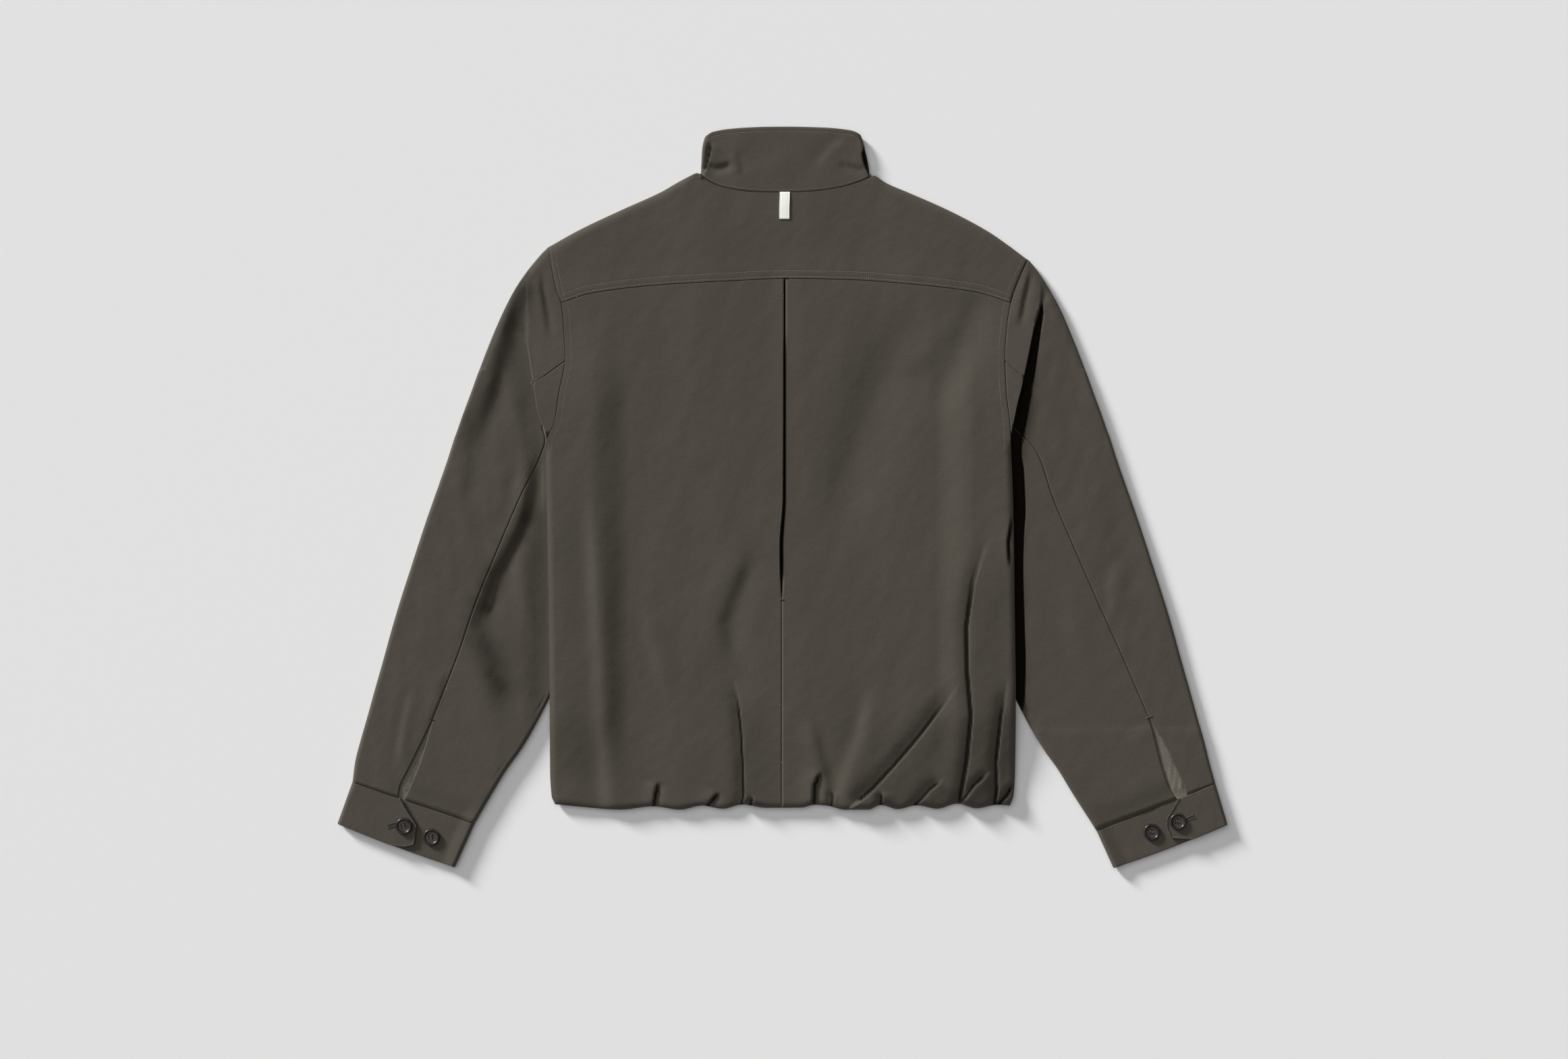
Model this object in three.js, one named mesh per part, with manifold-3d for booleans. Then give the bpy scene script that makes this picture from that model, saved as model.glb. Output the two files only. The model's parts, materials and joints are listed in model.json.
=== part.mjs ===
// A harrington jacket laid flat on its front, back up, in millimetres.
// +X runs to the wearer's right sleeve, +Y to the collar, +Z up from the surface it lies on.
// The origin is the middle of the rectangle that it covers, at the surface.
import * as THREE from 'three';
import Module from 'manifold-3d';

const wasm = await Module();
wasm.setup();

// Driving sizes
const WALL = 2.5; // shell and lining together
const LAY = 3.8; // hollow between two panels that lie on each other
const THICK = 2 * WALL + LAY; // the garment where it lies flat
const SEAM = 0.3; // gap between pieces that are sewn together
const EDGE = 1.7; // height of a panel's rim above or below the seam at a side
const SQUEEZED = 2 * WALL + 0.6; // a sleeve where the body lies on it
const LIFT = SQUEEZED + SEAM; // how far a sleeve raises the body's side
const NECK_HALF = 92; // from the middle to a shoulder's neck point
const FRONT_GAP = 10.4; // between the two front edges
const CUFF_WALL = 2;
const BUTTON_DIAMETER = 17.6;
const BUTTON_THICK = 3.2;

// ---------------------------------------------------------------- tables and lines

// A short table: one object a row, with the named columns.
function table(columns, rows) {
  return rows.map((row) => Object.fromEntries(columns.map((column, i) => [column, row[i]])));
}

const clamp = (value, low = 0, high = 1) => Math.min(high, Math.max(low, value));
const mix = (a, b, t) => a + (b - a) * t;

function smooth(from, to, value) {
  const t = clamp((value - from) / (to - from));
  return t * t * (3 - 2 * t);
}

// A smooth line through a table: one column's value at a place along another column,
// with no overshoot between rows (monotone cubic).
function line(rows, key, column) {
  const points = rows.map((row) => [row[key], row[column]]).sort((a, b) => a[0] - b[0]);
  const slopes = points.slice(1).map((p, i) => (p[1] - points[i][1]) / (p[0] - points[i][0]));
  const tangents = points.map((_, i) => {
    if (i === 0) return slopes[0];
    if (i === slopes.length) return slopes[i - 1];
    const [before, after] = [slopes[i - 1], slopes[i]];
    return before * after <= 0 ? 0 : (2 * before * after) / (before + after);
  });
  const last = points.length - 1;
  return (at) => {
    if (at <= points[0][0]) return points[0][1] + tangents[0] * (at - points[0][0]);
    if (at >= points[last][0]) return points[last][1] + tangents[last] * (at - points[last][0]);
    const i = points.findIndex((p) => p[0] > at) - 1;
    const span = points[i + 1][0] - points[i][0];
    const t = (at - points[i][0]) / span;
    return (1 + 2 * t) * (1 - t) ** 2 * points[i][1] + t * (1 - t) ** 2 * span * tangents[i]
      + t * t * (3 - 2 * t) * points[i + 1][1] - t * t * (1 - t) * span * tangents[i + 1];
  };
}

// Evenly spaced values from one number to another.
function steps(from, to, count) {
  return Array.from({ length: count + 1 }, (_, i) => mix(from, to, i / count));
}

// ---------------------------------------------------------------- closed cloth walls

// A wall of cloth: a grid of places, each with an outer and an inner point, closed round its rim.
function wall(grid) {
  const rows = grid.length;
  const columns = grid[0].length;
  const positions = [];
  for (const side of ['outer', 'inner']) {
    for (const row of grid) row.forEach((place) => positions.push(...place[side]));
  }
  const at = (i, j, inner) => (inner ? rows * columns : 0) + i * columns + j;
  const index = [];
  const quad = (a, b, c, d) => index.push(a, b, c, a, c, d);
  for (let i = 0; i < rows - 1; i += 1) {
    for (let j = 0; j < columns - 1; j += 1) {
      quad(at(i, j), at(i, j + 1), at(i + 1, j + 1), at(i + 1, j));
      quad(at(i, j, true), at(i + 1, j, true), at(i + 1, j + 1, true), at(i, j + 1, true));
    }
  }
  for (let j = 0; j < columns - 1; j += 1) {
    quad(at(0, j + 1), at(0, j), at(0, j, true), at(0, j + 1, true));
    quad(at(rows - 1, j), at(rows - 1, j + 1), at(rows - 1, j + 1, true), at(rows - 1, j, true));
  }
  const end = columns - 1;
  for (let i = 0; i < rows - 1; i += 1) {
    quad(at(i, 0), at(i + 1, 0), at(i + 1, 0, true), at(i, 0, true));
    quad(at(i + 1, end), at(i, end), at(i, end, true), at(i + 1, end, true));
  }
  return outward(positions, index);
}

// Faces turned so that the solid's volume counts as positive.
function outward(positions, index) {
  let volume = 0;
  const [a, b, c] = [new THREE.Vector3(), new THREE.Vector3(), new THREE.Vector3()];
  for (let i = 0; i < index.length; i += 3) {
    [a, b, c].forEach((corner, k) => corner.fromArray(positions, 3 * index[i + k]));
    volume += a.dot(b.cross(c));
  }
  if (volume < 0) index.reverse();
  const geometry = new THREE.BufferGeometry();
  geometry.setAttribute('position', new THREE.Float32BufferAttribute(positions, 3));
  geometry.setIndex(index);
  geometry.computeVertexNormals();
  return geometry;
}

// ---------------------------------------------------------------- outlines of the body

// Side of the body, left and right: armhole seam down to the armpit, then the folded side.
const BODY_SIDES = table(['y', 'left', 'right'], [
  [263, -244.8, 264],
  [248, -242.4, 257],
  [229, -239, 248.4],
  [213, -235.2, 242],
  [203, -231, 239],
  [179, -228.5, 235],
  [145, -227, 232.6],
  [106, -233.5, 234],
  [79, -237.5, 237.6],
  [54, -247, 238.6],
  [28, -247, 240],
  [-41, -245.5, 242],
  [-130, -244, 243],
  [-209, -243, 244],
  [-285, -243, 243.6],
  [-312, -241.5, 242],
  [-323, -237, 238],
]);
// Seam between yoke and back.
const YOKE_SEAM = table(['x', 'y'], [
  [-246, 199], [-231, 203.5], [-200, 213], [-131, 221.5], [-52, 226], [2, 228.4],
  [74, 227], [129, 223], [201, 214.5], [239, 203], [257, 198],
]);
// Top of the yoke: shoulders and the neck seam between them.
const YOKE_TOP = table(['x', 'y'], [
  [-244.5, 261.5], [-212, 279.6], [-169, 300], [-127, 319], [-106, 331], [-92, 338.5],
  [-56, 324.7], [2.6, 318.1], [50, 322.5], [95, 336.8],
  [110, 328], [131, 319], [174, 300], [216, 277.5], [237, 263], [257, 248],
]);
// Bottom edge, scalloped by the gathers.
const HEM = table(['x', 'y'], [
  [-241, -321], [-205, -324.5], [-170, -327], [-135, -323.5], [-107, -327], [-84, -322.7],
  [-62, -326], [-42, -321.5], [-18, -325], [20, -324.8], [34, -321.8], [48, -322.9],
  [65, -327], [90, -327], [103, -322], [121, -326.4], [140, -322.4], [162, -326],
  [183, -320.6], [203, -325.6], [225, -321.8], [241, -323],
]);
const HEM_LEVEL = -324;
const YOKE_LEVEL = 215;
// The centre back: an inverted pleat that stands open, then a seam.
const CENTRE = table(['y', 'x', 'half'], [
  [229, 2.5, 0.9], [110, 2.5, 0.9], [0, 2.3, 1.1], [-52, -0.7, 1.5],
  [-92, -0.6, 0.9], [-107, -0.5, SEAM / 2], [-325, -0.6, SEAM / 2],
]);

const bodySide = {
  left: line(BODY_SIDES, 'y', 'left'),
  right: line(BODY_SIDES, 'y', 'right'),
};
const yokeSeam = line(YOKE_SEAM, 'x', 'y');
const yokeTop = line(YOKE_TOP, 'x', 'y');
const hem = line(HEM, 'x', 'y');
const centre = line(CENTRE, 'y', 'x');
const slitHalf = line(CENTRE, 'y', 'half');

// ---------------------------------------------------------------- heights of the body

// Folds in the back. A fold's path has its trough beside it, towards the low side, and its
// crest on the other: side is -1 where the trough lies towards -X and 1 towards +X.
const FOLDS = table(['path', 'side', 'trough', 'width', 'crest', 'run', 'edge'], [
  [[[224, -36], [212, -52], [200, -87], [193, -137], [194, -182], [198, -229], [194, -276], [187, -317]],
    -1, 3.1, 10, 4.6, 26, 2.5],
  [[[186, -194], [172, -212], [152, -239], [136, -259], [117, -281], [95, -305], [82, -316]],
    -1, 3, 11, 5, 22, 2.5],
  [[[169, -294], [154, -306], [140, -322]], -1, 2.6, 8, 3.6, 12, 2.5],
  [[[236, -189], [229, -228], [224, -278], [225, -305], [223, -324]], -1, 2.8, 8, 3, 12, 2.5],
  [[[218, -286], [201, -301], [187, -319]], -1, 2.5, 7, 3, 9, 2.5],
  [[[-51, -188], [-46, -215], [-43, -242], [-41, -278], [-40, -310], [-42, -321]],
    -1, 2.8, 9, 4, 20, 2.5],
  [[[-209, 24], [-200, -48], [-196, -123], [-193, -170], [-191, -242], [-185, -323]],
    -1, 1.6, 22, 2.4, 22, 9],
  [[[-128, -290], [-135, -325]], 1, 2.4, 8, 2, 12, 4],
  [[[-66, -300], [-79, -323]], 1, 2, 8, 2.4, 12, 4],
  [[[40, -285], [34, -300], [32, -320]], 1, 2.6, 8, 3, 12, 3],
  [[[104, -300], [104, -323]], 1, 2.4, 6, 2.6, 8, 3],
  [[[94, -193], [80, -251], [64, -292], [57, -320]], -1, 1.8, 16, 2.2, 20, 8],
  [[[-28, -44], [-45, -88], [-61, -130], [-51, -188]], 1, 1.5, 20, 1.8, 26, 10],
  [[[187, 186], [160, 145], [92, 118]], 1, 1.2, 26, 1.4, 26, 12],
]);

// Signed distance from a fold's path (positive towards +X) and how much of the fold is left
// where it runs out at its ends.
function beside(path, x, y) {
  let best = { distance: Infinity, signed: 0, along: 0 };
  let travelled = 0;
  path.slice(1).forEach(([x1, y1], i) => {
    const [x0, y0] = path[i];
    const length = Math.hypot(x1 - x0, y1 - y0);
    const t = ((x - x0) * (x1 - x0) + (y - y0) * (y1 - y0)) / length ** 2;
    const [px, py] = [mix(x0, x1, clamp(t)), mix(y0, y1, clamp(t))];
    const distance = Math.hypot(x - px, y - py);
    if (distance < best.distance) {
      const cross = (x1 - x0) * (y - y0) - (y1 - y0) * (x - x0);
      const signed = Math.sign(cross || 1) * distance;
      best = { distance, signed, along: travelled + length * clamp(t) };
    }
    travelled += length;
  });
  return { signed: best.signed, along: best.along / travelled };
}

function foldHeight(x, y) {
  let height = 0;
  for (const fold of FOLDS) {
    const { signed, along } = beside(fold.path, x, y);
    const q = -fold.side * signed;
    const trough = -fold.trough * Math.exp(-((q / fold.width) ** 2));
    const crest = fold.crest * Math.exp(-((q / fold.run) ** 2));
    const reachesHem = fold.path[fold.path.length - 1][1] < -310;
    const fade = smooth(0, 0.3, along) * (reachesHem ? 1 : smooth(1, 0.7, along));
    height += fade * mix(trough, crest, 0.5 + 0.5 * Math.tanh(q / fold.edge));
  }
  return height;
}

const sideOf = (x) => (x < 0 ? 'left' : 'right');

// How far a sleeve below raises the body's side, from a height down to the armpit.
function raised(x, y, from) {
  return LIFT * smooth(160, 200, Math.abs(x)) * smooth(from, 82, y) * smooth(-300, -222, y);
}
const bodyLift = (x, y) => raised(x, y, 125);

// The upper panels rise further up, over the folded cloth of the armhole.
const bodyCrown = (x, y) => raised(x, y, x < 0 ? 190 : 226);

// Share of a rounded rim's full height at a distance in from the edge.
const roundness = (distance, radius) => Math.sqrt(1 - (1 - clamp(distance / radius)) ** 2);

// Distance in from the body's outer rim, where it has one: sides below the armpit and hem.
function rimDistance(x, y) {
  const fromSide = Math.abs(bodySide[sideOf(x)](y) - x) + 9 * smooth(60, 84, y);
  return Math.min(fromSide, y - hem(x));
}

// The body's upper surface, outside.
function backTop(x, y) {
  const crown = bodyCrown(x, y);
  const full = crown + THICK + clamp(foldHeight(x, y), -3.2, 9);
  const rim = bodyLift(x, y) + THICK / 2 + EDGE + SEAM / 2;
  return mix(rim, full, roundness(rimDistance(x, y), 7));
}

// Under the upper panels: parallel to the top, never far above the panel below.
function backUnder(x, y) {
  const below = bodyLift(x, y) + THICK / 2 + SEAM;
  const filled = bodyLift(x, y) + WALL + LAY + Math.max(0, foldHeight(x, y));
  return Math.max(below, Math.min(backTop(x, y) - WALL, filled));
}

// ---------------------------------------------------------------- yoke and back

// A place in plan where x depends on y and y on x: a few rounds bring the two together.
function settle(start, xAt, yAt) {
  let [x, y] = [xAt(start), start];
  for (let round = 0; round < 6; round += 1) {
    y = yAt(x);
    x = xAt(y);
  }
  return [x, y];
}

// A wall over a grid of places in plan, between an upper and a lower height.
function panel(rows, columns, place, top, under) {
  return wall(rows.map((v) => columns.map((u) => {
    const [x, y] = place(u, v);
    return { outer: [x, y, top(x, y)], inner: [x, y, under(x, y)] };
  })));
}

function yokeGeometry() {
  const place = (u, v) => settle(
    YOKE_LEVEL,
    (y) => mix(bodySide.left(y) + SEAM / 2, bodySide.right(y) - SEAM / 2, u),
    (x) => mix(yokeSeam(x) + SEAM, yokeTop(x) - SEAM / 2, v),
  );
  const atShoulder = (x) => smooth(NECK_HALF - 12, NECK_HALF + 14, Math.abs(x));
  const rimOf = (x, y) => (yokeTop(x) - y) * 0.9 + 9 * (1 - atShoulder(x));
  const top = (x, y) => {
    const full = THICK + bodyCrown(x, y);
    return mix(THICK / 2 + EDGE + SEAM / 2, full, roundness(rimOf(x, y), 8));
  };
  const under = (x, y) => Math.max(THICK / 2 + SEAM / 2, Math.min(top(x, y) - WALL, WALL + LAY));
  const columns = steps(0, 1, 26);
  return panel([0, 0.25, 0.5, 0.75, 0.9, 0.96, 1], columns, place, top, under);
}

// One half of the back, from the pleat or centre seam to the side.
function backGeometry(side) {
  const sign = side === 'left' ? -1 : 1;
  const place = (u, v) => {
    const level = mix(YOKE_LEVEL, HEM_LEVEL, v);
    const xAt = (y) => mix(centre(y) + sign * slitHalf(y), bodySide[side](y) - sign * SEAM / 2, u);
    const atYoke = (x) => (yokeSeam(x) - SEAM / 2 - YOKE_LEVEL) * (1 - v) ** 2;
    return settle(level, xAt, (x) => level + atYoke(x) + (hem(x) - HEM_LEVEL) * v ** 10);
  };
  const fewFolds = steps(0, 0.97, 12);
  const manyFolds = [...steps(0, 0.3, 3), ...steps(0.34, 0.97, 15)];
  const crossing = side === 'left' ? fewFolds : manyFolds;
  const columns = [...crossing, 0.985, 0.994, 1];
  const rows = [...steps(0, 0.38, 6), ...steps(0.42, 0.975, 17), 0.986, 0.994, 1];
  return panel(rows, columns, place, backTop, backUnder);
}

// The strip behind the open pleat.
function pleatGeometry() {
  const [width, thick, end] = [44, 1.4, -118];
  const place = (u, v) => {
    const y = mix(226, end, v);
    return [centre(y) + width * (u - 0.5), y];
  };
  const top = () => WALL + LAY - 3 * SEAM;
  return panel(steps(0, 1, 8), steps(0, 1, 2), place, top, () => top() - thick);
}

// ---------------------------------------------------------------- fronts and zip, below

const FRONT_NECK = table(['x', 'y'], [
  [0, 258], [25, 264], [50, 283], [74, 312], [92, 337.5],
]);
const frontNeck = line(FRONT_NECK, 'x', 'y');
const frontTop = (x) => (Math.abs(x) < NECK_HALF ? frontNeck(Math.abs(x)) : yokeTop(x));
function frontGeometry(side) {
  const sign = side === 'left' ? -1 : 1;
  const place = (u, v) => {
    const shoulder = 255;
    const level = mix(HEM_LEVEL, shoulder, v);
    const xAt = (y) => mix(sign * FRONT_GAP / 2, bodySide[side](y) - sign * SEAM / 2, u);
    const above = (x) => (frontTop(x) - SEAM / 2 - shoulder) * v ** 3;
    return settle(level, xAt, (x) => level + above(x) + (hem(x) - HEM_LEVEL) * (1 - v) ** 10);
  };
  const rimOf = (x, y) => {
    const atShoulder = smooth(NECK_HALF - 12, NECK_HALF + 8, Math.abs(x));
    return Math.min(rimDistance(x, y), (frontTop(x) - y) * 0.9 + 9 * (1 - atShoulder));
  };
  const under = (x, y) => {
    const rim = bodyLift(x, y) + THICK / 2 - EDGE - SEAM / 2;
    return mix(rim, bodyLift(x, y), roundness(rimOf(x, y), 6));
  };
  const top = (x, y) => Math.min(under(x, y) + WALL, bodyLift(x, y) + THICK / 2 - SEAM);
  const rows = [0, 0.006, 0.014, ...steps(0.03, 0.6, 7), ...steps(0.66, 0.98, 9), 0.99, 1];
  const columns = [...steps(0, 0.36, 6), 0.5, ...steps(0.64, 0.97, 4), 0.985, 0.994, 1];
  return panel(rows, columns, place, top, under);
}

// Zip chain between the fronts, with its tape on their inner side, drawn as one section.
const ZIP_TOP = 300;
const ZIP_BOTTOM = -312;

function zipGeometry() {
  const section = new THREE.Shape();
  const [chain, tape, low, step, high] = [3, 15, 0.4, WALL + SEAM, WALL + SEAM + 0.9];
  section.moveTo(-chain, low).lineTo(chain, low).lineTo(chain, step).lineTo(tape, step);
  section.lineTo(tape, high).lineTo(-tape, high).lineTo(-tape, step).lineTo(-chain, step).closePath();
  const length = ZIP_TOP - ZIP_BOTTOM;
  const geometry = new THREE.ExtrudeGeometry(section, { depth: length, bevelEnabled: false });
  return geometry.rotateX(Math.PI / 2).translate(0, ZIP_TOP, 0);
}

function sliderGeometry() {
  const outline = new THREE.Shape();
  outline.moveTo(-4.4, 11).lineTo(-3, 0).lineTo(3, 0).lineTo(4.4, 11).quadraticCurveTo(0, 15, -4.4, 11);
  const pull = new THREE.Path().absellipse(0, 8, 1.4, 2, 0, 2 * Math.PI);
  outline.holes.push(pull);
  const options = { depth: 2.4, bevelEnabled: false, curveSegments: 6 };
  return new THREE.ExtrudeGeometry(outline, options).translate(0, ZIP_TOP + SEAM, 0.2);
}

// ---------------------------------------------------------------- collar

const COLLAR_TOP = table(['x', 'y'], [
  [-85, 366], [-82.5, 374], [-77, 379], [-72, 382.7], [-56, 384.3], [-28, 386.4], [0, 387.1],
  [28, 386.4], [57, 385], [71, 382.8], [79, 380.9], [85, 373], [91, 362],
]);
const COLLAR_SIDES = table(['part', 'left', 'right'], [
  [0, -89.5, 95], [0.3, -85, 91.2], [0.8, -83.6, 88.6], [1, -82, 85.6],
]);
const collarTop = line(COLLAR_TOP, 'x', 'y');
const collarSide = {
  left: line(COLLAR_SIDES, 'part', 'left'),
  right: line(COLLAR_SIDES, 'part', 'right'),
};

// The stand collar, folded flat: from one front end round a side, the nape and the other side.
function collarGeometry() {
  const frontHeight = 64;
  const across = [0.04, 0.3, 0.6, 0.85];
  const turn = [0.25, 0.5, 0.75].map((share) => Math.PI * share);
  const point = (v, inset) => {
    const [left, right] = [collarSide.left(v), collarSide.right(v)];
    const radius = THICK / 2 - inset;
    const bend = THICK / 2;
    const gap = (x) => 3 * SEAM + 2.4 * smooth(55, 82, Math.abs(x));
    const back = (x) => mix(yokeTop(clamp(x, -88, 92)) + gap(x), collarTop(x), v);
    const front = (x) => {
      const foot = frontNeck(Math.min(Math.abs(x), 89)) + gap(x);
      return mix(foot, Math.min(foot + frontHeight, collarTop(x) - 0.5), v);
    };
    const ring = [];
    across.forEach((share) => {
      const x = mix(-FRONT_GAP / 2, left + bend, share);
      ring.push([x, front(x), inset]);
    });
    const round = (x, outwards, angle) => {
      const y = mix(front(x), back(x), angle / Math.PI);
      ring.push([x + outwards * radius * Math.sin(angle), y, THICK / 2 - radius * Math.cos(angle)]);
    };
    turn.forEach((angle) => round(left + bend, -1, angle));
    steps(left + bend, right - bend, 11).forEach((x) => ring.push([x, back(x), THICK - inset]));
    [...turn].reverse().forEach((angle) => round(right - bend, 1, angle));
    [...across].reverse().forEach((share) => {
      const x = mix(FRONT_GAP / 2, right - bend, share);
      ring.push([x, front(x), inset]);
    });
    return ring;
  };
  const heights = [0, 0.15, 0.45, 0.8, 1];
  return wall(heights.map((v) => {
    const inner = point(v, WALL);
    return point(v, 0).map((outer, i) => ({ outer, inner: inner[i] }));
  }));
}

// The pale tape at the nape, a flattened loop.
function tapeGeometry() {
  const [left, right, bottom, top, thick] = [-3.1, 7.4, 290, 317.4, 1.2];
  const tape = new THREE.BoxGeometry(right - left, top - bottom, thick);
  return tape.translate((left + right) / 2, (bottom + top) / 2, THICK + SEAM + thick / 2);
}

// ---------------------------------------------------------------- sleeves
// Both sleeves share their sections; x is counted outwards from the middle of the garment.

// Sections of the cap, from the shoulder's fold in to the armhole seam.
const CAP = table(['leftX', 'leftY', 'leftIn', 'rightX', 'rightY', 'rightIn'], [
  [250, 256.5, 255.5, 262, 243, 242.5],
  [258, 247.5, 247, 267, 236.5, 237],
  [268, 235, 237, 273, 228, 229],
  [280, 217, 220, 281, 215, 216],
  [291, 196, 200, 292, 194.5, 199],
  [300, 176, 181, 300, 176, 182],
  [309, 154, 162, 309, 154, 163],
  [317, 133, 141.8, 317, 133, 142.8],
]);
// Sections below the cap, from the outer fold to the inner fold, which the body hides at first.
const SLEEVE = table(['outerX', 'outerY', 'innerX', 'innerY'], [
  [350, 40, 214, 38],
  [359, 14, 206, 5], [370, -17, 204, -32], [380, -47, 205, -70], [390, -78, 209, -108],
  [400, -109, 217, -143], [409.5, -141, 229, -177], [418, -172, 243, -208],
  [426, -200, 257, -236], [434, -229, 272, -262], [442, -257, 289, -286],
  [447, -277, 303, -309], [451.1, -297.2, 322.1, -341.9],
]);
// Outer fold beside the tongue, from the cap to the armpit.
const BESIDE_TONGUE = table(['outerX', 'outerY'], [[324, 114], [334, 87], [341, 67]]);
// Back seam, and below it the cuff's slit: where the top piece and the under piece end.
const BACK_SEAM = table(['y', 'leftTop', 'leftUnder', 'rightTop', 'rightUnder'], [
  [125, 260.4, 260.1, 253.2, 252.9],
  [93, 256, 255.7, 246.5, 246.2],
  [75, 251.6, 251.3, 242.4, 242.1],
  [60, 248.2, 247.9, 256, 255.7],
  [45, 252.5, 252.2, 267.5, 267.2],
  [0, 274, 273.7, 283, 282.7],
  [-44, 293, 292.7, 301.6, 301.3],
  [-119, 323.5, 323.2, 334.5, 334.2],
  [-159, 337, 336.7, 352.5, 352.2],
  [-222, 361.7, 361.4, 379.8, 379.5],
  [-232, 365.6, 365.3, 384, 383.7],
  [-257, 377.5, 372.4, 399, 390.5],
  [-284, 390.5, 381.4, 411.5, 397.4],
  [-305, 400.4, 390.3, 421, 405.4],
  [-318, 402, 396.2, 425, 415],
]);
// Front seam, on the side that the garment lies on.
const FRONT_SEAM = table(['y', 'x'], [
  [164, 229.6], [127.6, 239.2], [91.3, 248.8], [54.9, 258.4], [18.5, 268], [-50, 258], [-120, 258],
  [-180, 270], [-232, 292], [-283, 325], [-335, 356],
]);
// The under piece's tongue beside the armhole, folded over the sleeve.
const TONGUES = {
  left: table(['seamX', 'seamY', 'innerX', 'innerY'], [
    [232, 138.3, 228.6, 136.6], [245.5, 128.2, 231.5, 121], [259.1, 118, 234, 108.5],
    [255.3, 91, 237.8, 90.5], [251, 75, 241.4, 75],
  ]),
  right: table(['seamX', 'seamY', 'innerX', 'innerY'], [
    [236, 138.9, 233.6, 137.6], [243.5, 131.4, 234.1, 124], [251.4, 123.2, 235.2, 108],
    [245.6, 95, 236.9, 91], [241.8, 75.5, 239.2, 75.3],
  ]),
};
// The folded edge of the cloth beside the armhole; below the armpit it is the body's side.
const FOLD_EDGE = table(['y', 'left', 'right'], [
  [245, 266, 272], [206, 267, 271], [171, 267.2, 262.6], [144, 264, 257], [121, 260.3, 251.9],
  [93, 255.8, 245], [58, 247.2, 239.6], [28, 247, 240], [-130, 244, 243], [-290, 243, 243.6],
]);

const foldEdge = { left: line(FOLD_EDGE, 'y', 'left'), right: line(FOLD_EDGE, 'y', 'right') };
const frontSeam = line(FRONT_SEAM, 'y', 'x');
const backSeam = {
  leftTop: line(BACK_SEAM, 'y', 'leftTop'),
  leftUnder: line(BACK_SEAM, 'y', 'leftUnder'),
  rightTop: line(BACK_SEAM, 'y', 'rightTop'),
  rightUnder: line(BACK_SEAM, 'y', 'rightUnder'),
};

// A sleeve's upper surface: pressed down beside and below the body's side, raised in the fold.
function sleeveTop(side, x, y) {
  const out = x - foldEdge[side](y);
  const pressed = smooth(240, 150, y) * smooth(-290, -215, y);
  const low = THICK - (THICK - SQUEEZED) * pressed * (1 - smooth(1, 15, out));
  const high = THICK + bodyCrown(side === 'left' ? -x : x, y);
  return mix(low, mix(low, high, smooth(75, 94, y)), smooth(1.2, -1.2, out));
}

// One straight section across a sleeve, from its outer point inwards.
function sectionLine(outer, inner) {
  const width = Math.hypot(inner[0] - outer[0], inner[1] - outer[1]);
  const at = (r) => [mix(outer[0], inner[0], r / width), mix(outer[1], inner[1], r / width)];
  const meets = (seam, reach = width) => {
    let [low, high] = [0, reach];
    if (at(reach)[0] > seam(at(reach)[1])) return reach;
    for (let i = 0; i < 30; i += 1) {
      const middle = (low + high) / 2;
      if (at(middle)[0] > seam(at(middle)[1])) low = middle;
      else high = middle;
    }
    return low;
  };
  return { width, at, meets };
}

// A fold's half round, from the upper wall to the lower one.
function halfRound(radius, height, inset) {
  const share = 1 - inset / (height / 2);
  return [0.25, 0.5, 0.75].map((part) => ({
    out: radius * share * Math.sin(Math.PI * part),
    z: (height / 2) * (1 + share * Math.cos(Math.PI * part)),
  }));
}

// Top piece in one section: from the back seam over the outer fold to the front seam.
function topSection(side, { section, start, besideTongue }, inset) {
  const mirror = side === 'left' ? -1 : 1;
  const { at, width, meets } = section;
  const bend = Math.min(THICK / 2, 0.4 * width);
  const fold = start - meets(foldEdge[side]);
  const edge = Math.max(fold, 5);
  const near = start - bend > edge + 40
    ? [0, edge * 0.5, edge - 1.4, edge + 1.4, edge + 8, edge + 16]
    : steps(0, (start - bend) * 0.6, 5);
  const last = near[near.length - 1];
  const stops = [...near, ...steps(last, start - bend, 4).slice(1)].map((d) => start - d);
  const ring = stops.map((r) => {
    const [x, y] = at(r);
    const top = sleeveTop(side, x, y);
    return [mirror * x, y, inset ? Math.min(top - WALL, WALL + LAY) : top];
  });
  halfRound(bend, THICK, inset).forEach(({ out, z }) => {
    const [x, y] = at(bend - out);
    ring.push([mirror * x, y, z]);
  });
  const seam = (besideTongue ? meets(frontSeam, width + 60) : meets(frontSeam)) - SEAM / 2;
  steps(bend, seam, 3).forEach((r) => {
    const [x, y] = at(r);
    ring.push([mirror * x, y, inset]);
  });
  return ring;
}

function sleeveTopGeometry(side) {
  const armhole = (y) => Math.abs(bodySide[side](y)) + 3 * SEAM;
  const caps = CAP.map((row) => {
    const innerY = row[`${side}In`];
    const section = sectionLine([row[`${side}X`], row[`${side}Y`]], [armhole(innerY), innerY]);
    return { section, start: section.width };
  });
  const middle = BESIDE_TONGUE.map(({ outerX, outerY }, i) => {
    const { seamX, seamY } = TONGUES[side][i + 2];
    const section = sectionLine([outerX, outerY], [seamX + SEAM, seamY + SEAM / 2]);
    return { section, start: section.width, besideTongue: true };
  });
  const lower = SLEEVE.map((row) => {
    const section = sectionLine([row.outerX, row.outerY], [row.innerX, row.innerY]);
    return { section, start: section.meets(backSeam[`${side}Top`]) };
  });
  return wall([...caps, ...middle, ...lower].map((cut) => {
    const inner = topSection(side, cut, WALL);
    return topSection(side, cut, 0).map((outer, j) => ({ outer, inner: inner[j] }));
  }));
}

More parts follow.
